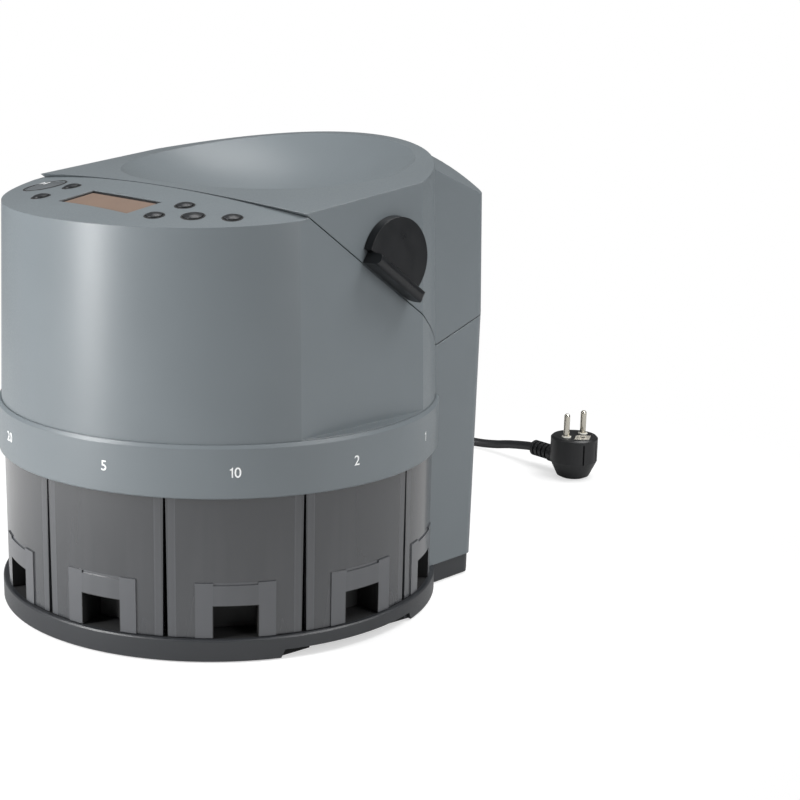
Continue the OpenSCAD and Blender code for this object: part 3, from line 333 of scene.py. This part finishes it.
def smoke_drawer(name, span):
    """Smoke tinted polystyrene. The front is opaque and dark, as the drawer behind it is, with faint
    flow lines and a painted reflection that is paler at its foot. Bands of painted light and a
    painted highlight stand for the side walls behind it; it is paler at the frosted pads and lintel
    of the notch, and painted shade makes the inside of the notch almost black. The other walls let
    some light through."""
    material, tree = new_material(name)
    mid, half = (span[0] + span[1]) / 2, (span[1] - span[0]) / 2
    place = add(tree, "ShaderNodeTexCoord").outputs["Object"]
    turned = add(tree, "ShaderNodeMapping",
                 {"Vector": place, "Rotation": (0, 0, math.radians(mid))}, vector_type="TEXTURE")
    axes = add(tree, "ShaderNodeSeparateXYZ", {"Vector": turned}).outputs
    side = add(tree, "ShaderNodeMath", {0: axes["X"]}, operation="ABSOLUTE")
    up = axes["Z"]
    plan = add(tree, "ShaderNodeCombineXYZ", {"X": axes["X"], "Y": axes["Y"]})
    radius = add(tree, "ShaderNodeVectorMath", {0: plan}, operation="LENGTH").outputs["Value"]
    front = add(tree, "ShaderNodeMath", {0: radius, 1: (DRAWER_R - FRONT_T) * MM},
                operation="GREATER_THAN")

    def between(value, low, high, blur):
        """1 between two distances in millimetres, with soft ends."""
        rise = add(tree, "ShaderNodeMapRange",
                   {"Value": value, "From Min": (low - blur) * MM, "From Max": (low + blur) * MM},
                   interpolation_type="SMOOTHSTEP")
        fall = add(tree, "ShaderNodeMapRange",
                   {"Value": value, "From Min": (high - blur) * MM,
                    "From Max": (high + blur) * MM, "To Min": 1.0, "To Max": 0.0},
                   interpolation_type="SMOOTHSTEP")
        return add(tree, "ShaderNodeMath", {0: rise, 1: fall}, operation="MULTIPLY")

    # Where the front is pale: painted light of the side walls behind it with a painted highlight
    # along their inner face, the frosted pads beside the notch and the lintel over it
    end = DRAWER_R * math.sin(math.radians(half)) - SIDE_GAP
    notch_top = DRAWER_Z + NOTCH_H
    pad_top = notch_top + PAD_UP
    under = DRAWER_Z - 5      # well below the drawer, so that a pad's foot has no edge
    walls = between(side, end - WALL_SHOWS[0], end - WALL_SHOWS[1], WALL_BLUR)
    walls = add(tree, "ShaderNodeMath", {0: walls, 1: WALL_TONE}, operation="MULTIPLY")
    lines = between(side, end - WALL_HIGHLIGHT[0], end - WALL_HIGHLIGHT[1], EDGE_BLUR)
    lines = add(tree, "ShaderNodeMath", {0: lines, 1: WALL_HIGHLIGHT_TONE}, operation="MULTIPLY")
    behind = add(tree, "ShaderNodeMath", {0: walls, 1: lines}, operation="ADD")
    pads = add(tree, "ShaderNodeMath",
               {0: between(side, NOTCH_HALF, NOTCH_HALF + PAD_W, EDGE_BLUR),
                1: between(up, under, pad_top, EDGE_BLUR)}, operation="MULTIPLY")
    lintel = add(tree, "ShaderNodeMath",
                 {0: between(side, -NOTCH_HALF, NOTCH_HALF, EDGE_BLUR),
                  1: between(up, notch_top - 1, pad_top, EDGE_BLUR)}, operation="MULTIPLY")
    lintel = add(tree, "ShaderNodeMath", {0: lintel, 1: LINTEL_TONE}, operation="MULTIPLY")
    raised = add(tree, "ShaderNodeMath", {0: pads, 1: lintel}, operation="MAXIMUM")
    marked = add(tree, "ShaderNodeMath", {0: behind, 1: raised}, operation="MAXIMUM")
    frost_and_painted_light = add(tree, "ShaderNodeMath", {0: marked, 1: front}, operation="MULTIPLY")

    # Flow lines of the moulding, and a painted reflection that fades from the foot of a drawer to
    # its top
    drawn = add(tree, "ShaderNodeMapping", {"Vector": turned, "Scale": (1, 1, FLOW_DRAWN)})
    flow = add(tree, "ShaderNodeTexNoise",
               {"Vector": drawn, "Scale": 1 / (FLOW_W * MM), "Detail": 2.0})
    streak = add(tree, "ShaderNodeMapRange", {"Value": flow, **NOISE_SPAN, **FLOW_TONE})
    foot_reflection = add(tree, "ShaderNodeMapRange",
                {"Value": up, "From Min": DRAWER_Z * MM, "From Max": DRAWER_TOP * MM, **FOOT_REFLECTION_TONE})
    flow_and_reflection = add(tree, "ShaderNodeMath", {0: streak, 1: foot_reflection}, operation="ADD")
    pale = add(tree, "ShaderNodeMath", {0: frost_and_painted_light, 1: flow_and_reflection}, operation="ADD")
    tint = add(tree, "ShaderNodeMix",
               {"Factor": pale, 6: linear(SMOKE_DEEP), 7: linear(SMOKE_PALE)}, data_type="RGBA")

    # Inside of the finger notch: painted shade makes it almost black; it is also rough and closed
    hollow = add(tree, "ShaderNodeMath",
                 {0: between(side, -NOTCH_HALF, NOTCH_HALF + 0.5, CUT_BLUR),
                  1: between(up, under, notch_top + 0.3, CUT_BLUR)}, operation="MULTIPLY")
    tint_and_notch_shade = add(tree, "ShaderNodeMix",
               {"Factor": hollow, 6: tint.outputs[2], 7: linear(SMOKE_NOTCH_SHADE)}, data_type="RGBA")
    sheen = add(tree, "ShaderNodeMapRange", {"Value": pale, **SMOKE_SHEEN})
    rougher = add(tree, "ShaderNodeMath", {0: hollow, 1: HOLLOW_ROUGH}, operation="MULTIPLY")
    gloss = add(tree, "ShaderNodeMath", {0: sheen, 1: rougher}, operation="ADD")
    around = add(tree, "ShaderNodeMath", {0: 1.0, 1: hollow}, operation="SUBTRACT")
    polish = add(tree, "ShaderNodeMath", {0: around, 1: SMOKE_COAT}, operation="MULTIPLY")
    solid = add(tree, "ShaderNodeMath", {0: front, 1: hollow}, operation="MAXIMUM")
    filled = add(tree, "ShaderNodeMath", {0: solid, 1: 1 - WALL_ALPHA}, operation="MULTIPLY")
    alpha = add(tree, "ShaderNodeMath", {0: WALL_ALPHA, 1: filled}, operation="ADD")
    shader = add(tree, "ShaderNodeBsdfPrincipled",
                 {"Base Color": tint_and_notch_shade.outputs[2], "Roughness": gloss, "Coat Weight": polish,
                  "Alpha": alpha, "IOR": 1.59, "Coat Roughness": 0.16})
    add(tree, "ShaderNodeOutputMaterial", {"Surface": shader})
    return material


def lcd_cell(name, colour, gap_colour):
    """Resting reflective display: a film under clear glass, with the faint grid of its dots."""
    material, tree = new_material(name)
    place = add(tree, "ShaderNodeTexCoord").outputs["Object"]
    cloud = add(tree, "ShaderNodeTexNoise",
                {"Vector": place, "Scale": 1 / (LCD_CLOUD_W * MM), "Detail": 1.0})
    dots = add(tree, "ShaderNodeTexBrick",
               {"Vector": place, "Scale": 1 / MM, "Mortar Size": LCD_GAP, "Brick Width": LCD_DOT,
                "Row Height": LCD_DOT, "Color1": linear(colour), "Color2": linear(colour),
                "Mortar": linear(gap_colour)}, offset=0.0)
    tint = add(tree, "ShaderNodeMapRange",
               {"Value": cloud, **NOISE_SPAN, "To Min": 0.93, "To Max": 1.07})
    shade = add(tree, "ShaderNodeVectorMath", {0: dots, "Scale": tint}, operation="SCALE")
    gloss = add(tree, "ShaderNodeMapRange", {"Value": cloud, "To Min": 0.5, "To Max": 0.6})
    shader = add(tree, "ShaderNodeBsdfPrincipled",
                 {"Base Color": shade, "Roughness": gloss, "IOR": 1.45})
    add(tree, "ShaderNodeOutputMaterial", {"Surface": shader})
    return material


# Spark-eroded ABS: an even satin with no visible direction. The grain is drawn coarser than real.
housing_abs = moulded("spark_eroded_abs_grey", "#6E7579", 0.35, 1.1, 0.02, edge_mm=0.9)
# Plain moulded ABS, darker, with a flatter sheen. Under the drawers it is darkened further as
# painted shade.
base_abs = moulded("moulded_abs_charcoal", "#313336", 0.36, 1.0, 0.02, edge_mm=0.6,
                   shade_and_matt_within=DRAWER_R)
# Inner mouldings that nobody textures: pale and even.
inner_abs = moulded("moulded_abs_light_grey", "#8F9395", 0.45, 1.5, 0.02)
# Black ABS with a light gloss on its rounded edges. Its grain is too fine to show, and is drawn
# as a broad, faint unevenness.
knob_abs = moulded("moulded_abs_black", "#131518", 0.32, 8.0, 0.001, edge_mm=0.6)
# Small keys: near black and smooth, so that their domes catch a spot of light.
keycap_abs = moulded("polished_keycap_abs_black", "#232528", 0.34, 6.0, 0.001, edge_mm=0.3)
# Start key: a lighter, satin cap.
start_abs = moulded("satin_keycap_abs_grey", "#55595C", 0.4, 0.8, 0.01, edge_mm=0.6)
# White engineering plastic of the disc and gear, slightly waxy.
acetal = moulded("moulded_acetal_white", "#DADBD8", 0.38, 1.2, 0.01)
# Feet and gland: matt black with a dusty grain. The black rings of painted shade round the keys use
# it too.
rubber = moulded("moulded_rubber_black", "#1B1B1C", 0.7, 0.8, 0.04)
# Cord jacket and moulded-on plug: soft PVC, slightly oily gloss.
pvc = moulded("extruded_pvc_black", "#1D1E20", 0.4, 0.8, 0.02, edge_mm=0.5)
# White collars that hold the plug's pins: a soft, even gloss.
nylon = moulded("moulded_nylon_white", "#E6E4DC", 0.4, 0.6, 0.01)
# Lacquered circuit boards: green under a clear gloss.
solder_mask = moulded("solder_mask_green", "#1F6B3C", 0.3, 1.0, 0.01, coat=0.3)
# Screen printed ink: a flat, slightly chalky white.
ink = moulded("screen_print_white", "#F4F5F5", 0.5, 0.5, 0.005)
# Display at rest: brown, with a flat sheen.
display = lcd_cell("reflective_lcd_brown", "#715E53", "#79685B")
# Zinc plated steel: cool and a little cloudy.
zinc = metal("zinc_plated_steel", "#C6C9CB", 0.3, 0.8)
# Nickel plated brass: bright, with a warm cast.
nickel = metal("nickel_plated_brass", "#E4DFD2", 0.14, 1.0)
# Stamped plate of the earth contact: the same metal, brushed to a pale satin.
satin_nickel = metal("brushed_nickel_plated_brass", "#ECE8DE", 0.55, 1.0)

dress(housing_abs, "label_ring", "main_housing", "rear_cover", "hopper_cover")
dress(base_abs, "base_tray")
dress(inner_abs, "chute_plate", "centre_core", "electronics_tray", "sorting_deck")
dress(knob_abs, "latch_knob", "latch_cam", "coin_counter", "lcd_module", "power_unit", "cord_tie")
dress(keycap_abs, *SMALL_KEYS)
dress(start_abs, "key_start")
dress(acetal, "sorting_disc", "drive_gear")
dress(rubber, "rubber_feet", "cord_gland")
dress(pvc, "plug_body")
dress(solder_mask, "panel_board", "main_board")
dress(display, "lcd_window")
dress(zinc, "hinge_pin", "drive_shaft", "motor_pinion", "drive_motor")
dress(nickel, "plug_pins")
dress(satin_nickel, "plug_earth")
for number, span in enumerate(DRAWER_SPANS, 1):
    dress(smoke_drawer("moulded_smoke_polystyrene_%d" % number, span), "drawer_%d" % number)


# ---- Mains cord: lead, coil and tail as one curve, with the collars and earth rim of its plug ----
def plug_point(x, z):
    """A place on the plug's middle plane, x along the plug and z over the table."""
    turn = math.radians(PLUG_TURN)
    return (PLUG_X + x * math.cos(turn), PLUG_Y + x * math.sin(turn), z)


def ease(t):
    """Smooth step from 0 to 1."""
    t = min(max(t, 0.0), 1.0)
    return t * t * (3 - 2 * t)


def coil_point(angle):
    """A place on the coil, which winds inward on the table and outward in a layer on top."""
    turn = angle / 360
    r = COIL_IN + COIL_PITCH * abs(turn - COIL_TURNS)
    a = math.radians(angle)
    z = CORD_Z + LAYER_H * ease((turn - COIL_TURNS) * 2 + 0.5)
    return (COIL_X + r * math.cos(a), COIL_Y + r * math.sin(a), z)


def lead_route():
    """Straight out of the gland, then down to the table in two equal arcs."""
    start = GLAND_Y + GLAND_L
    bend = start + LEAD_STRAIGHT
    fall = math.acos(1 - (GLAND_Z - CORD_Z) / (2 * LEAD_BEND))
    angles = [fall * i / LEAD_STEPS for i in range(LEAD_STEPS + 1)]
    bow = [(LEAD_BEND * math.sin(a), LEAD_BEND * (math.cos(a) - 1)) for a in angles]
    route = [(GLAND_X, start, GLAND_Z)]
    route += [(GLAND_X, bend + y, GLAND_Z + z) for y, z in bow]
    route += [(GLAND_X, bend + 2 * bow[-1][0] - y, CORD_Z - z) for y, z in bow[-2::-1]]
    return route


def coil_route():
    """Into the coil along its outside, then round it."""
    return ([(COIL_X + COIL_OUT, COIL_Y - CORD_D, CORD_Z)]
            + [coil_point(angle) for angle in range(0, COIL_SWEEP + 1, COIL_STEP)])


def tail_route():
    """Off the coil, down to the table, round behind the column and up into the plug."""
    last = Vector(coil_point(COIL_SWEEP))
    return [tuple(last + Vector((-CORD_D, 0, 0))), tuple(last + Vector((-CORD_D - 8, 0, 0))),
            (-138, 306, 10.5), (-149, 313, 8), (-156, 323, 5.5), (-158, 334, 4.5),
            (-155, 345, 4.5), (-148, 355, 4.5), (-137, 366, 4.5), (-123, 373, 4.5),
            (-108, 377.8, 4.5), (-92, 380, 5), (-77, 380.5, 7), (-63, 379.5, 10),
            plug_point(RELIEF_TO - 8, PLUG_CORD_Z - 0.4), plug_point(RELIEF_TO, PLUG_CORD_Z)]


def smooth_route(points, per_span):
    """Points of a Catmull-Rom curve through a route."""
    route = [Vector(p) for p in points]
    out = []
    for i in range(len(route) - 1):
        p0, p1 = route[max(i - 1, 0)], route[i]
        p2, p3 = route[i + 1], route[min(i + 2, len(route) - 1)]
        for k in range(per_span):
            t = k / per_span
            out.append(0.5 * (2 * p1 + (p2 - p0) * t + (2 * p0 - 5 * p1 + 4 * p2 - p3) * t ** 2
                              + (3 * p1 - p0 - 3 * p2 + p3) * t ** 3))
    return out + [route[-1]]


def cord_along(route):
    """A round cord along a route in metres."""
    curve = bpy.data.curves.new("mains_cord", "CURVE")
    curve.dimensions = "3D"
    curve.bevel_depth = 1.0
    curve.bevel_resolution = 5
    curve.use_fill_caps = True
    spline = curve.splines.new("POLY")
    spline.points.add(len(route) - 1)
    for point, place in zip(spline.points, route):
        point.co = (*place, 1.0)
        point.radius = CORD_D / 2 * MM
    spline.use_smooth = True
    curve.materials.append(pvc)
    return link_object("mains_cord", curve)


def plug_top():
    """Frame in the middle of the plug's top face, turned with the plug."""
    turn = Matrix.Rotation(math.radians(PLUG_TURN), 4, "Z")
    return Matrix.Translation((PLUG_X, PLUG_Y, PLUG_H)) @ turn


def pin_collars():
    """A rounded white collar round the foot of each pin."""
    work = bmesh.new()
    inner, outer = PLUG_PIN_R + COLLAR_CLEAR, PLUG_PIN_R + COLLAR_W
    section = [(inner, 0.02), (outer, 0.02), (outer, 0.5), (outer - 0.3, 0.85),
               (inner + 0.2, 0.85), (inner, 0.65)]
    for side in (-1, 1):
        foot = plug_top() @ Matrix.Translation((0, side * PLUG_PIN_OFF, 0))
        lathe_ring(work, foot, section, COLLAR_SIDES)
    return new_piece("pin_collars", work, nylon, "frame")


def earth_rim():
    """Diamond shaped rim of the stamped plate round the earth contact: a ring of four corners."""
    work = bmesh.new()
    section = [(EARTH_IN, 0.02), (EARTH_OUT, 0.02), (EARTH_OUT - 0.25, 0.22),
               (EARTH_IN + 0.1, 0.22)]
    diamond = Matrix.Translation((EARTH_X, 0, 0)) @ Matrix.Diagonal((EARTH_SLIM, 1, 1, 1))
    lathe_ring(work, plug_top() @ diamond, section, 4)
    return new_piece("earth_rim", work, satin_nickel, "frame")


cord_points = lead_route() + coil_route() + tail_route()
cord_route = [p * MM for p in smooth_route(cord_points, ROUTE_FINENESS)]
cord = cord_along(cord_route)
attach(cord, "frame")
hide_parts("cord_lead", "cord_coil", "cord_tail")
([nodes[n] for n in ("cord_tie", "plug_body", "plug_pins", "plug_earth")]
        + [pin_collars(), earth_rim()])


# ---- Printed numbers on the label ring ----
def digit(figure, height):
    """Flat bmesh of one digit that stands on y = 0, in millimetres. The font's one has no flag."""
    work = bmesh.new()
    if figure == "1":
        work.faces.new([work.verts.new((x * height, y * height, 0)) for x, y in FIGURE_ONE])
        return work
    curve = bpy.data.curves.new("print", "FONT")
    curve.body = figure
    curve.size = height / FONT_CAP
    curve.offset = FONT_SWELL * height
    curve.resolution_u = 6
    work.from_mesh(evaluated_mesh(link_object("print", curve)))
    return work


def number_outline(words, height):
    """Flat bmesh of a number, centred on the origin, with its digits set side by side."""
    number, end = bmesh.new(), 0.0
    for figure in words:
        work = digit(figure, height)
        low = min(v.co.x for v in work.verts)
        bmesh.ops.translate(work, vec=(end - low, -height / 2, 0), verts=work.verts)
        end = max(v.co.x for v in work.verts) + DIGIT_GAP * height
        mesh = bpy.data.meshes.new("digit")
        work.to_mesh(mesh)
        work.free()
        number.from_mesh(mesh)
        bpy.data.meshes.remove(mesh)
    bmesh.ops.translate(number, vec=((DIGIT_GAP * height - end) / 2, 0, 0), verts=number.verts)
    return number


def ring_number(name, angle, words):
    """A number bent round the face of the label ring."""
    work = number_outline(words, NUMBER_H)
    for x in range(-NUMBER_REACH, NUMBER_REACH + 1):
        bmesh.ops.bisect_plane(work, geom=work.verts[:] + work.edges[:] + work.faces[:],
                               plane_co=(x, 0, 0), plane_no=(1, 0, 0))
    bmesh.ops.triangulate(work, faces=work.faces[:])
    r = DRUM_R + PRINT_LIFT
    for v in work.verts:
        a = math.radians(angle) + v.co.x / r
        v.co = Vector((r * math.sin(a), -r * math.cos(a), RING_MID_Z + v.co.y))
    for face in work.faces:
        face.normal_update()
        if face.normal.dot(Vector((face.verts[0].co.x, face.verts[0].co.y, 0))) < 0:
            face.normal_flip()
    new_piece(name, work, ink, "frame", closed=False)


for number, (angle, words) in enumerate(RING_NUMBERS, 1):
    ring_number("ring_number_%d" % number, angle, words)


# ---- Control panel: mark on the start key, black rings of painted shade round the keys, a black lining of painted shade in the display's recess, and its lens ----
def start_mark():
    """A triangle and a bar, laid on the domed top of the start key."""
    x, y, r = START_KEY
    dome = r * START_DOME
    work = bmesh.new()
    for outline in (MARK_TRIANGLE, MARK_BAR):
        work.faces.new([work.verts.new((px, py, 0)) for px, py in outline])
    bmesh.ops.triangulate(work, faces=work.faces[:])
    bmesh.ops.subdivide_edges(work, edges=work.edges[:], cuts=3, use_grid_fill=True)
    place = on_panel(x, y)
    for v in work.verts:
        drop = dome - math.sqrt(dome ** 2 - v.co.x ** 2 - v.co.y ** 2)
        v.co = place @ Vector((v.co.x, v.co.y, KEY_UP - drop + PRINT_LIFT))
    piece = new_piece("start_mark", work, ink, "key_start")
    for polygon in piece.data.polygons:
        if polygon.normal.z < 0:
            polygon.flip()


def key_shade_rings():
    """Black rings raised on the panel, one round each key: painted shade that stands for the
    shadowed gap round the key.
    """
    work = bmesh.new()
    for x, y, r in (START_KEY, *SMALL_KEYS.values()):
        section = [(r + KEY_CLEAR + out, up) for out, up in SHADE_RING_SECTION]
        lathe_ring(work, on_panel(x, y), section, SHADE_RING_SIDES)
    new_piece("key_shade_rings", work, rubber, "frame")


def recess_ring(work, inset, z):
    """Four corners of the display's recess, drawn in by an inset, at a height over the panel."""
    x, y, width, depth = DISPLAY
    half_w, half_d = width / 2 - inset, depth / 2 - inset
    drop = half_w ** 2 / (2 * PANEL_CROWN)
    return [work.verts.new(on_panel(x, y) @ Vector((sx * half_w, sy * half_d, z - drop)))
            for sx, sy in ((-1, -1), (1, -1), (1, 1), (-1, 1))]


def join_rings(work, rows):
    """Faces between each ring of four corners and the next."""
    for here, ahead in zip(rows, rows[1:]):
        for k in range(4):
            work.faces.new((here[k], here[(k + 1) % 4], ahead[(k + 1) % 4], ahead[k]))


def display_shade_lining():
    """Thin black lining on the walls of the display's recess: painted shade for the shadowed walls.
    """
    work = bmesh.new()
    rows = [recess_ring(work, inset, z) for inset, z in SHADE_LINING_SECTION]
    join_rings(work, rows + rows[:1])
    new_piece("display_shade_lining", work, knob_abs, "frame")


def display_lens():
    """The display's window, set in the black lining just under the panel."""
    work = bmesh.new()
    rows = [recess_ring(work, inset, z) for inset, z in LENS_SECTION]
    join_rings(work, rows)
    work.faces.new(rows[0])
    work.faces.new(rows[-1])
    new_piece("display_lens", work, display, "frame")


start_mark()
key_shade_rings()
display_shade_lining()
display_lens()


# ---- Screws: one tree of nodes sets a cross-slotted screw at every seat ----
def screw_tree():
    """Geometry nodes: a head with a cross slot, and a shank of its own length, on each seat."""
    tree = bpy.data.node_groups.new("cross_slot_screws", "GeometryNodeTree")
    tree.interface.new_socket("Seats", in_out="INPUT", socket_type="NodeSocketGeometry")
    for name, value in (("Head radius", HEAD_R), ("Head height", HEAD_T),
                        ("Shank radius", SCREW_R), ("Slot length", SLOT_L),
                        ("Slot width", SLOT_W), ("Slot depth", SLOT_DEEP)):
        size = tree.interface.new_socket(name, in_out="INPUT", socket_type="NodeSocketFloat")
        size.default_value = value * MM
    tree.interface.new_socket("Screws", in_out="OUTPUT", socket_type="NodeSocketGeometry")
    given = add(tree, "NodeGroupInput").outputs

    # Head, cut by two bars that cross at its top
    top_r = add(tree, "ShaderNodeMath", {0: given["Head radius"], 1: HEAD_TAPER},
                operation="MULTIPLY")
    head = add(tree, "GeometryNodeMeshCone",
               {"Vertices": HEAD_SIDES, "Radius Top": top_r, "Depth": given["Head height"],
                "Radius Bottom": given["Head radius"]})
    deep = add(tree, "ShaderNodeMath", {0: given["Slot depth"], 1: 2.0}, operation="MULTIPLY")
    lift = add(tree, "ShaderNodeCombineXYZ", {"Z": given["Head height"]})
    cut = add(tree, "GeometryNodeMeshBoolean", {"Mesh 1": head}, operation="DIFFERENCE",
              solver="EXACT")
    for long_axis, short_axis in (("X", "Y"), ("Y", "X")):
        size = add(tree, "ShaderNodeCombineXYZ",
                   {long_axis: given["Slot length"], short_axis: given["Slot width"], "Z": deep})
        bar = add(tree, "GeometryNodeMeshCube", {"Size": size})
        raised = add(tree, "GeometryNodeTransform", {"Geometry": bar, "Translation": lift})
        tree.links.new(raised.outputs["Geometry"], cut.inputs["Mesh 2"])

    # Shank of unit length under the head, stretched to the length that its seat gives
    rod = add(tree, "GeometryNodeMeshCylinder",
              {"Vertices": SHANK_SIDES, "Radius": given["Shank radius"], "Depth": 1.0})
    sunk = add(tree, "GeometryNodeTransform", {"Geometry": rod, "Translation": (0, 0, -0.5)})
    axis = add(tree, "GeometryNodeInputNamedAttribute", {"Name": "axis"},
               data_type="FLOAT_VECTOR")
    length = add(tree, "GeometryNodeInputNamedAttribute", {"Name": "length"}, data_type="FLOAT")
    facing = add(tree, "FunctionNodeAlignRotationToVector",
                 {"Vector": axis.outputs["Attribute"]}, axis="Z")
    stretch = add(tree, "ShaderNodeCombineXYZ",
                  {"X": 1.0, "Y": 1.0, "Z": length.outputs["Attribute"]})
    seated = {"Points": given["Seats"], "Rotation": facing}
    heads = add(tree, "GeometryNodeInstanceOnPoints", {**seated, "Instance": cut})
    shanks = add(tree, "GeometryNodeInstanceOnPoints",
                 {**seated, "Instance": sunk, "Scale": stretch})
    both = add(tree, "GeometryNodeJoinGeometry")
    for part in (heads, shanks):
        tree.links.new(part.outputs["Instances"], both.inputs["Geometry"])
    real = add(tree, "GeometryNodeRealizeInstances", {"Geometry": both})
    finish = add(tree, "GeometryNodeSetMaterial", {"Geometry": real, "Material": zinc})
    add(tree, "NodeGroupOutput", {"Screws": finish})
    return tree


def screw_seats():
    """Place, outward axis and shank length of every screw, in millimetres."""
    seats = []
    lean = math.radians(COL_LEAN)
    for x in (-COVER_SCREW_X, COVER_SCREW_X):
        for z in COVER_SCREW_ZS:
            y = COL_REAR + (z - HINGE_Z) * math.tan(lean)
            seats.append(((x, y, z), (0, math.cos(lean), -math.sin(lean)), COVER_SCREW_L))
    for angle in CORE_SCREW_ANGLES:
        a = math.radians(angle)
        place = (CORE_SCREW_R * math.sin(a), -CORE_SCREW_R * math.cos(a), CORE_SCREW_Z)
        seats.append((place, (0, 0, -1), CORE_SCREW_L))
    down = panel_tilt().to_3x3() @ Vector((0, 0, -1))
    for x, y in BOARD_POSTS:
        place = panel_tilt() @ Vector((x, along_panel(y), -BOARD_DOWN - BOARD_T))
        seats.append((tuple(place), tuple(down), BOARD_T + BOARD_GRIP))
    return seats


def set_screws():
    """One plain mesh of all the screws, in place of the solids of the node screws."""
    seats = screw_seats()
    mesh = bpy.data.meshes.new("screw_seats")
    mesh.from_pydata([tuple(v * MM for v in place) for place, _, _ in seats], [], [])
    mesh.attributes.new("axis", "FLOAT_VECTOR", "POINT")
    mesh.attributes.new("length", "FLOAT", "POINT")
    for i, (_, direction, run) in enumerate(seats):
        mesh.attributes["axis"].data[i].vector = direction
        mesh.attributes["length"].data[i].value = run * MM
    holder = link_object("screw_seats", mesh)
    modifier = holder.modifiers.new("screws", "NODES")
    modifier.node_group = screw_tree()
    for socket in modifier.node_group.interface.items_tree:
        if socket.in_out == "INPUT" and socket.socket_type == "NodeSocketFloat":
            modifier[socket.identifier] = socket.default_value
    done = evaluated_mesh(holder)
    done.name = "machine_screws"
    piece = link_object("machine_screws", done)
    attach(piece, "frame")
    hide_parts("screws")


set_screws()


# ---- Floor and light, in metres and watts ----
WHITE = (1, 1, 1, 1)
FLOOR_HALF, FLOOR_Z = 6.0, -0.0003
FLOOR_GREY = "#C4C4C4"
FLOOR_FADE = (0.15, 0.42)   # the shadow fades out between these distances from the axis
PLUG_FADE = 0.2             # at the plug, the fade is as far on as at this distance from the axis
FLOOR_LIFT = 0.55           # light that the paper adds, so that the shadow stays pale
WORLD_LIGHT = 0.12
MIDDLE = (0.0, 0.0, 0.15)
SOFTBOXES = (               # name, place, aim, width, height, power
    ("front_softbox", (-0.4, -1.28, 0.45), MIDDLE, 0.3, 0.9, 17),
    ("floor_softbox", (-0.36, -0.7, 0.75), (-0.36, -0.7, 0.0), 0.4, 0.5, 8),
    ("side_softbox", (1.5, 0.2, 0.7), MIDDLE, 0.7, 1.2, 11),
    ("top_softbox", (0.5, 0.6, 1.4), MIDDLE, 0.9, 0.9, 16),
    ("crown_softbox", (-0.4, 0.36, 1.46), MIDDLE, 0.5, 0.5, 3),
)


def seen_straight(tree):
    """1 where the camera sees a surface itself or through a clear wall."""
    rays = add(tree, "ShaderNodeLightPath").outputs
    return add(tree, "ShaderNodeMath",
               {0: rays["Is Camera Ray"], 1: rays["Is Transmission Ray"]}, operation="MAXIMUM")


def studio_floor():
    """White paper that keeps the shadow near the sorter and its plug, and fades to pure white."""
    mesh = bpy.data.meshes.new("floor")
    corners = ((-1, -1), (1, -1), (1, 1), (-1, 1))
    mesh.from_pydata([(x * FLOOR_HALF, y * FLOOR_HALF, FLOOR_Z) for x, y in corners],
                     [], [(0, 1, 2, 3)])
    material, tree = new_material("matt_paper_white")
    place = add(tree, "ShaderNodeTexCoord").outputs["Object"]
    from_axis = add(tree, "ShaderNodeVectorMath", {0: place}, operation="LENGTH")
    from_plug = add(tree, "ShaderNodeVectorMath", {0: place, 1: (PLUG_X * MM, PLUG_Y * MM, 0)},
                    operation="DISTANCE")
    plug_away = add(tree, "ShaderNodeMath", {0: from_plug.outputs["Value"], 1: PLUG_FADE},
                    operation="ADD")
    away = add(tree, "ShaderNodeMath", {0: from_axis.outputs["Value"], 1: plug_away},
               operation="MINIMUM")
    fade = add(tree, "ShaderNodeMapRange",
               {"Value": away, "From Min": FLOOR_FADE[0], "From Max": FLOOR_FADE[1]},
               interpolation_type="SMOOTHSTEP")
    diffuse = add(tree, "ShaderNodeBsdfDiffuse", {"Color": linear(FLOOR_GREY)})
    lift = add(tree, "ShaderNodeEmission", {"Color": WHITE, "Strength": FLOOR_LIFT})
    near = add(tree, "ShaderNodeAddShader", {0: diffuse, 1: lift})
    white = add(tree, "ShaderNodeEmission", {"Color": WHITE, "Strength": 1.0})
    shown = add(tree, "ShaderNodeMixShader", {"Fac": fade, 1: near, 2: white})
    pick = add(tree, "ShaderNodeMixShader", {"Fac": seen_straight(tree), 1: diffuse, 2: shown})
    add(tree, "ShaderNodeOutputMaterial", {"Surface": pick})
    mesh.materials.append(material)
    link_object("floor", mesh)


def studio_world():
    """Soft light all round; the camera sees plain white."""
    world = bpy.data.worlds.new("studio")
    scene.world = world
    world.use_nodes = True
    tree = world.node_tree
    tree.nodes.clear()
    soft = add(tree, "ShaderNodeBackground", {"Color": WHITE, "Strength": WORLD_LIGHT})
    white = add(tree, "ShaderNodeBackground", {"Color": WHITE, "Strength": 1.0})
    pick = add(tree, "ShaderNodeMixShader", {"Fac": seen_straight(tree), 1: soft, 2: white})
    add(tree, "ShaderNodeOutputWorld", {"Surface": pick})


def softbox(name, place, aim, width, height, power):
    """A rectangular area light that faces its aim."""
    data = bpy.data.lights.new(name, "AREA")
    data.shape = "RECTANGLE"
    data.size, data.size_y, data.energy = width, height, power
    lamp = link_object(name, data)
    lamp.location = place
    lamp.rotation_euler = (Vector(aim) - Vector(place)).to_track_quat("-Z", "Y").to_euler()


studio_floor()
studio_world()
for lamp in SOFTBOXES:
    softbox(*lamp)
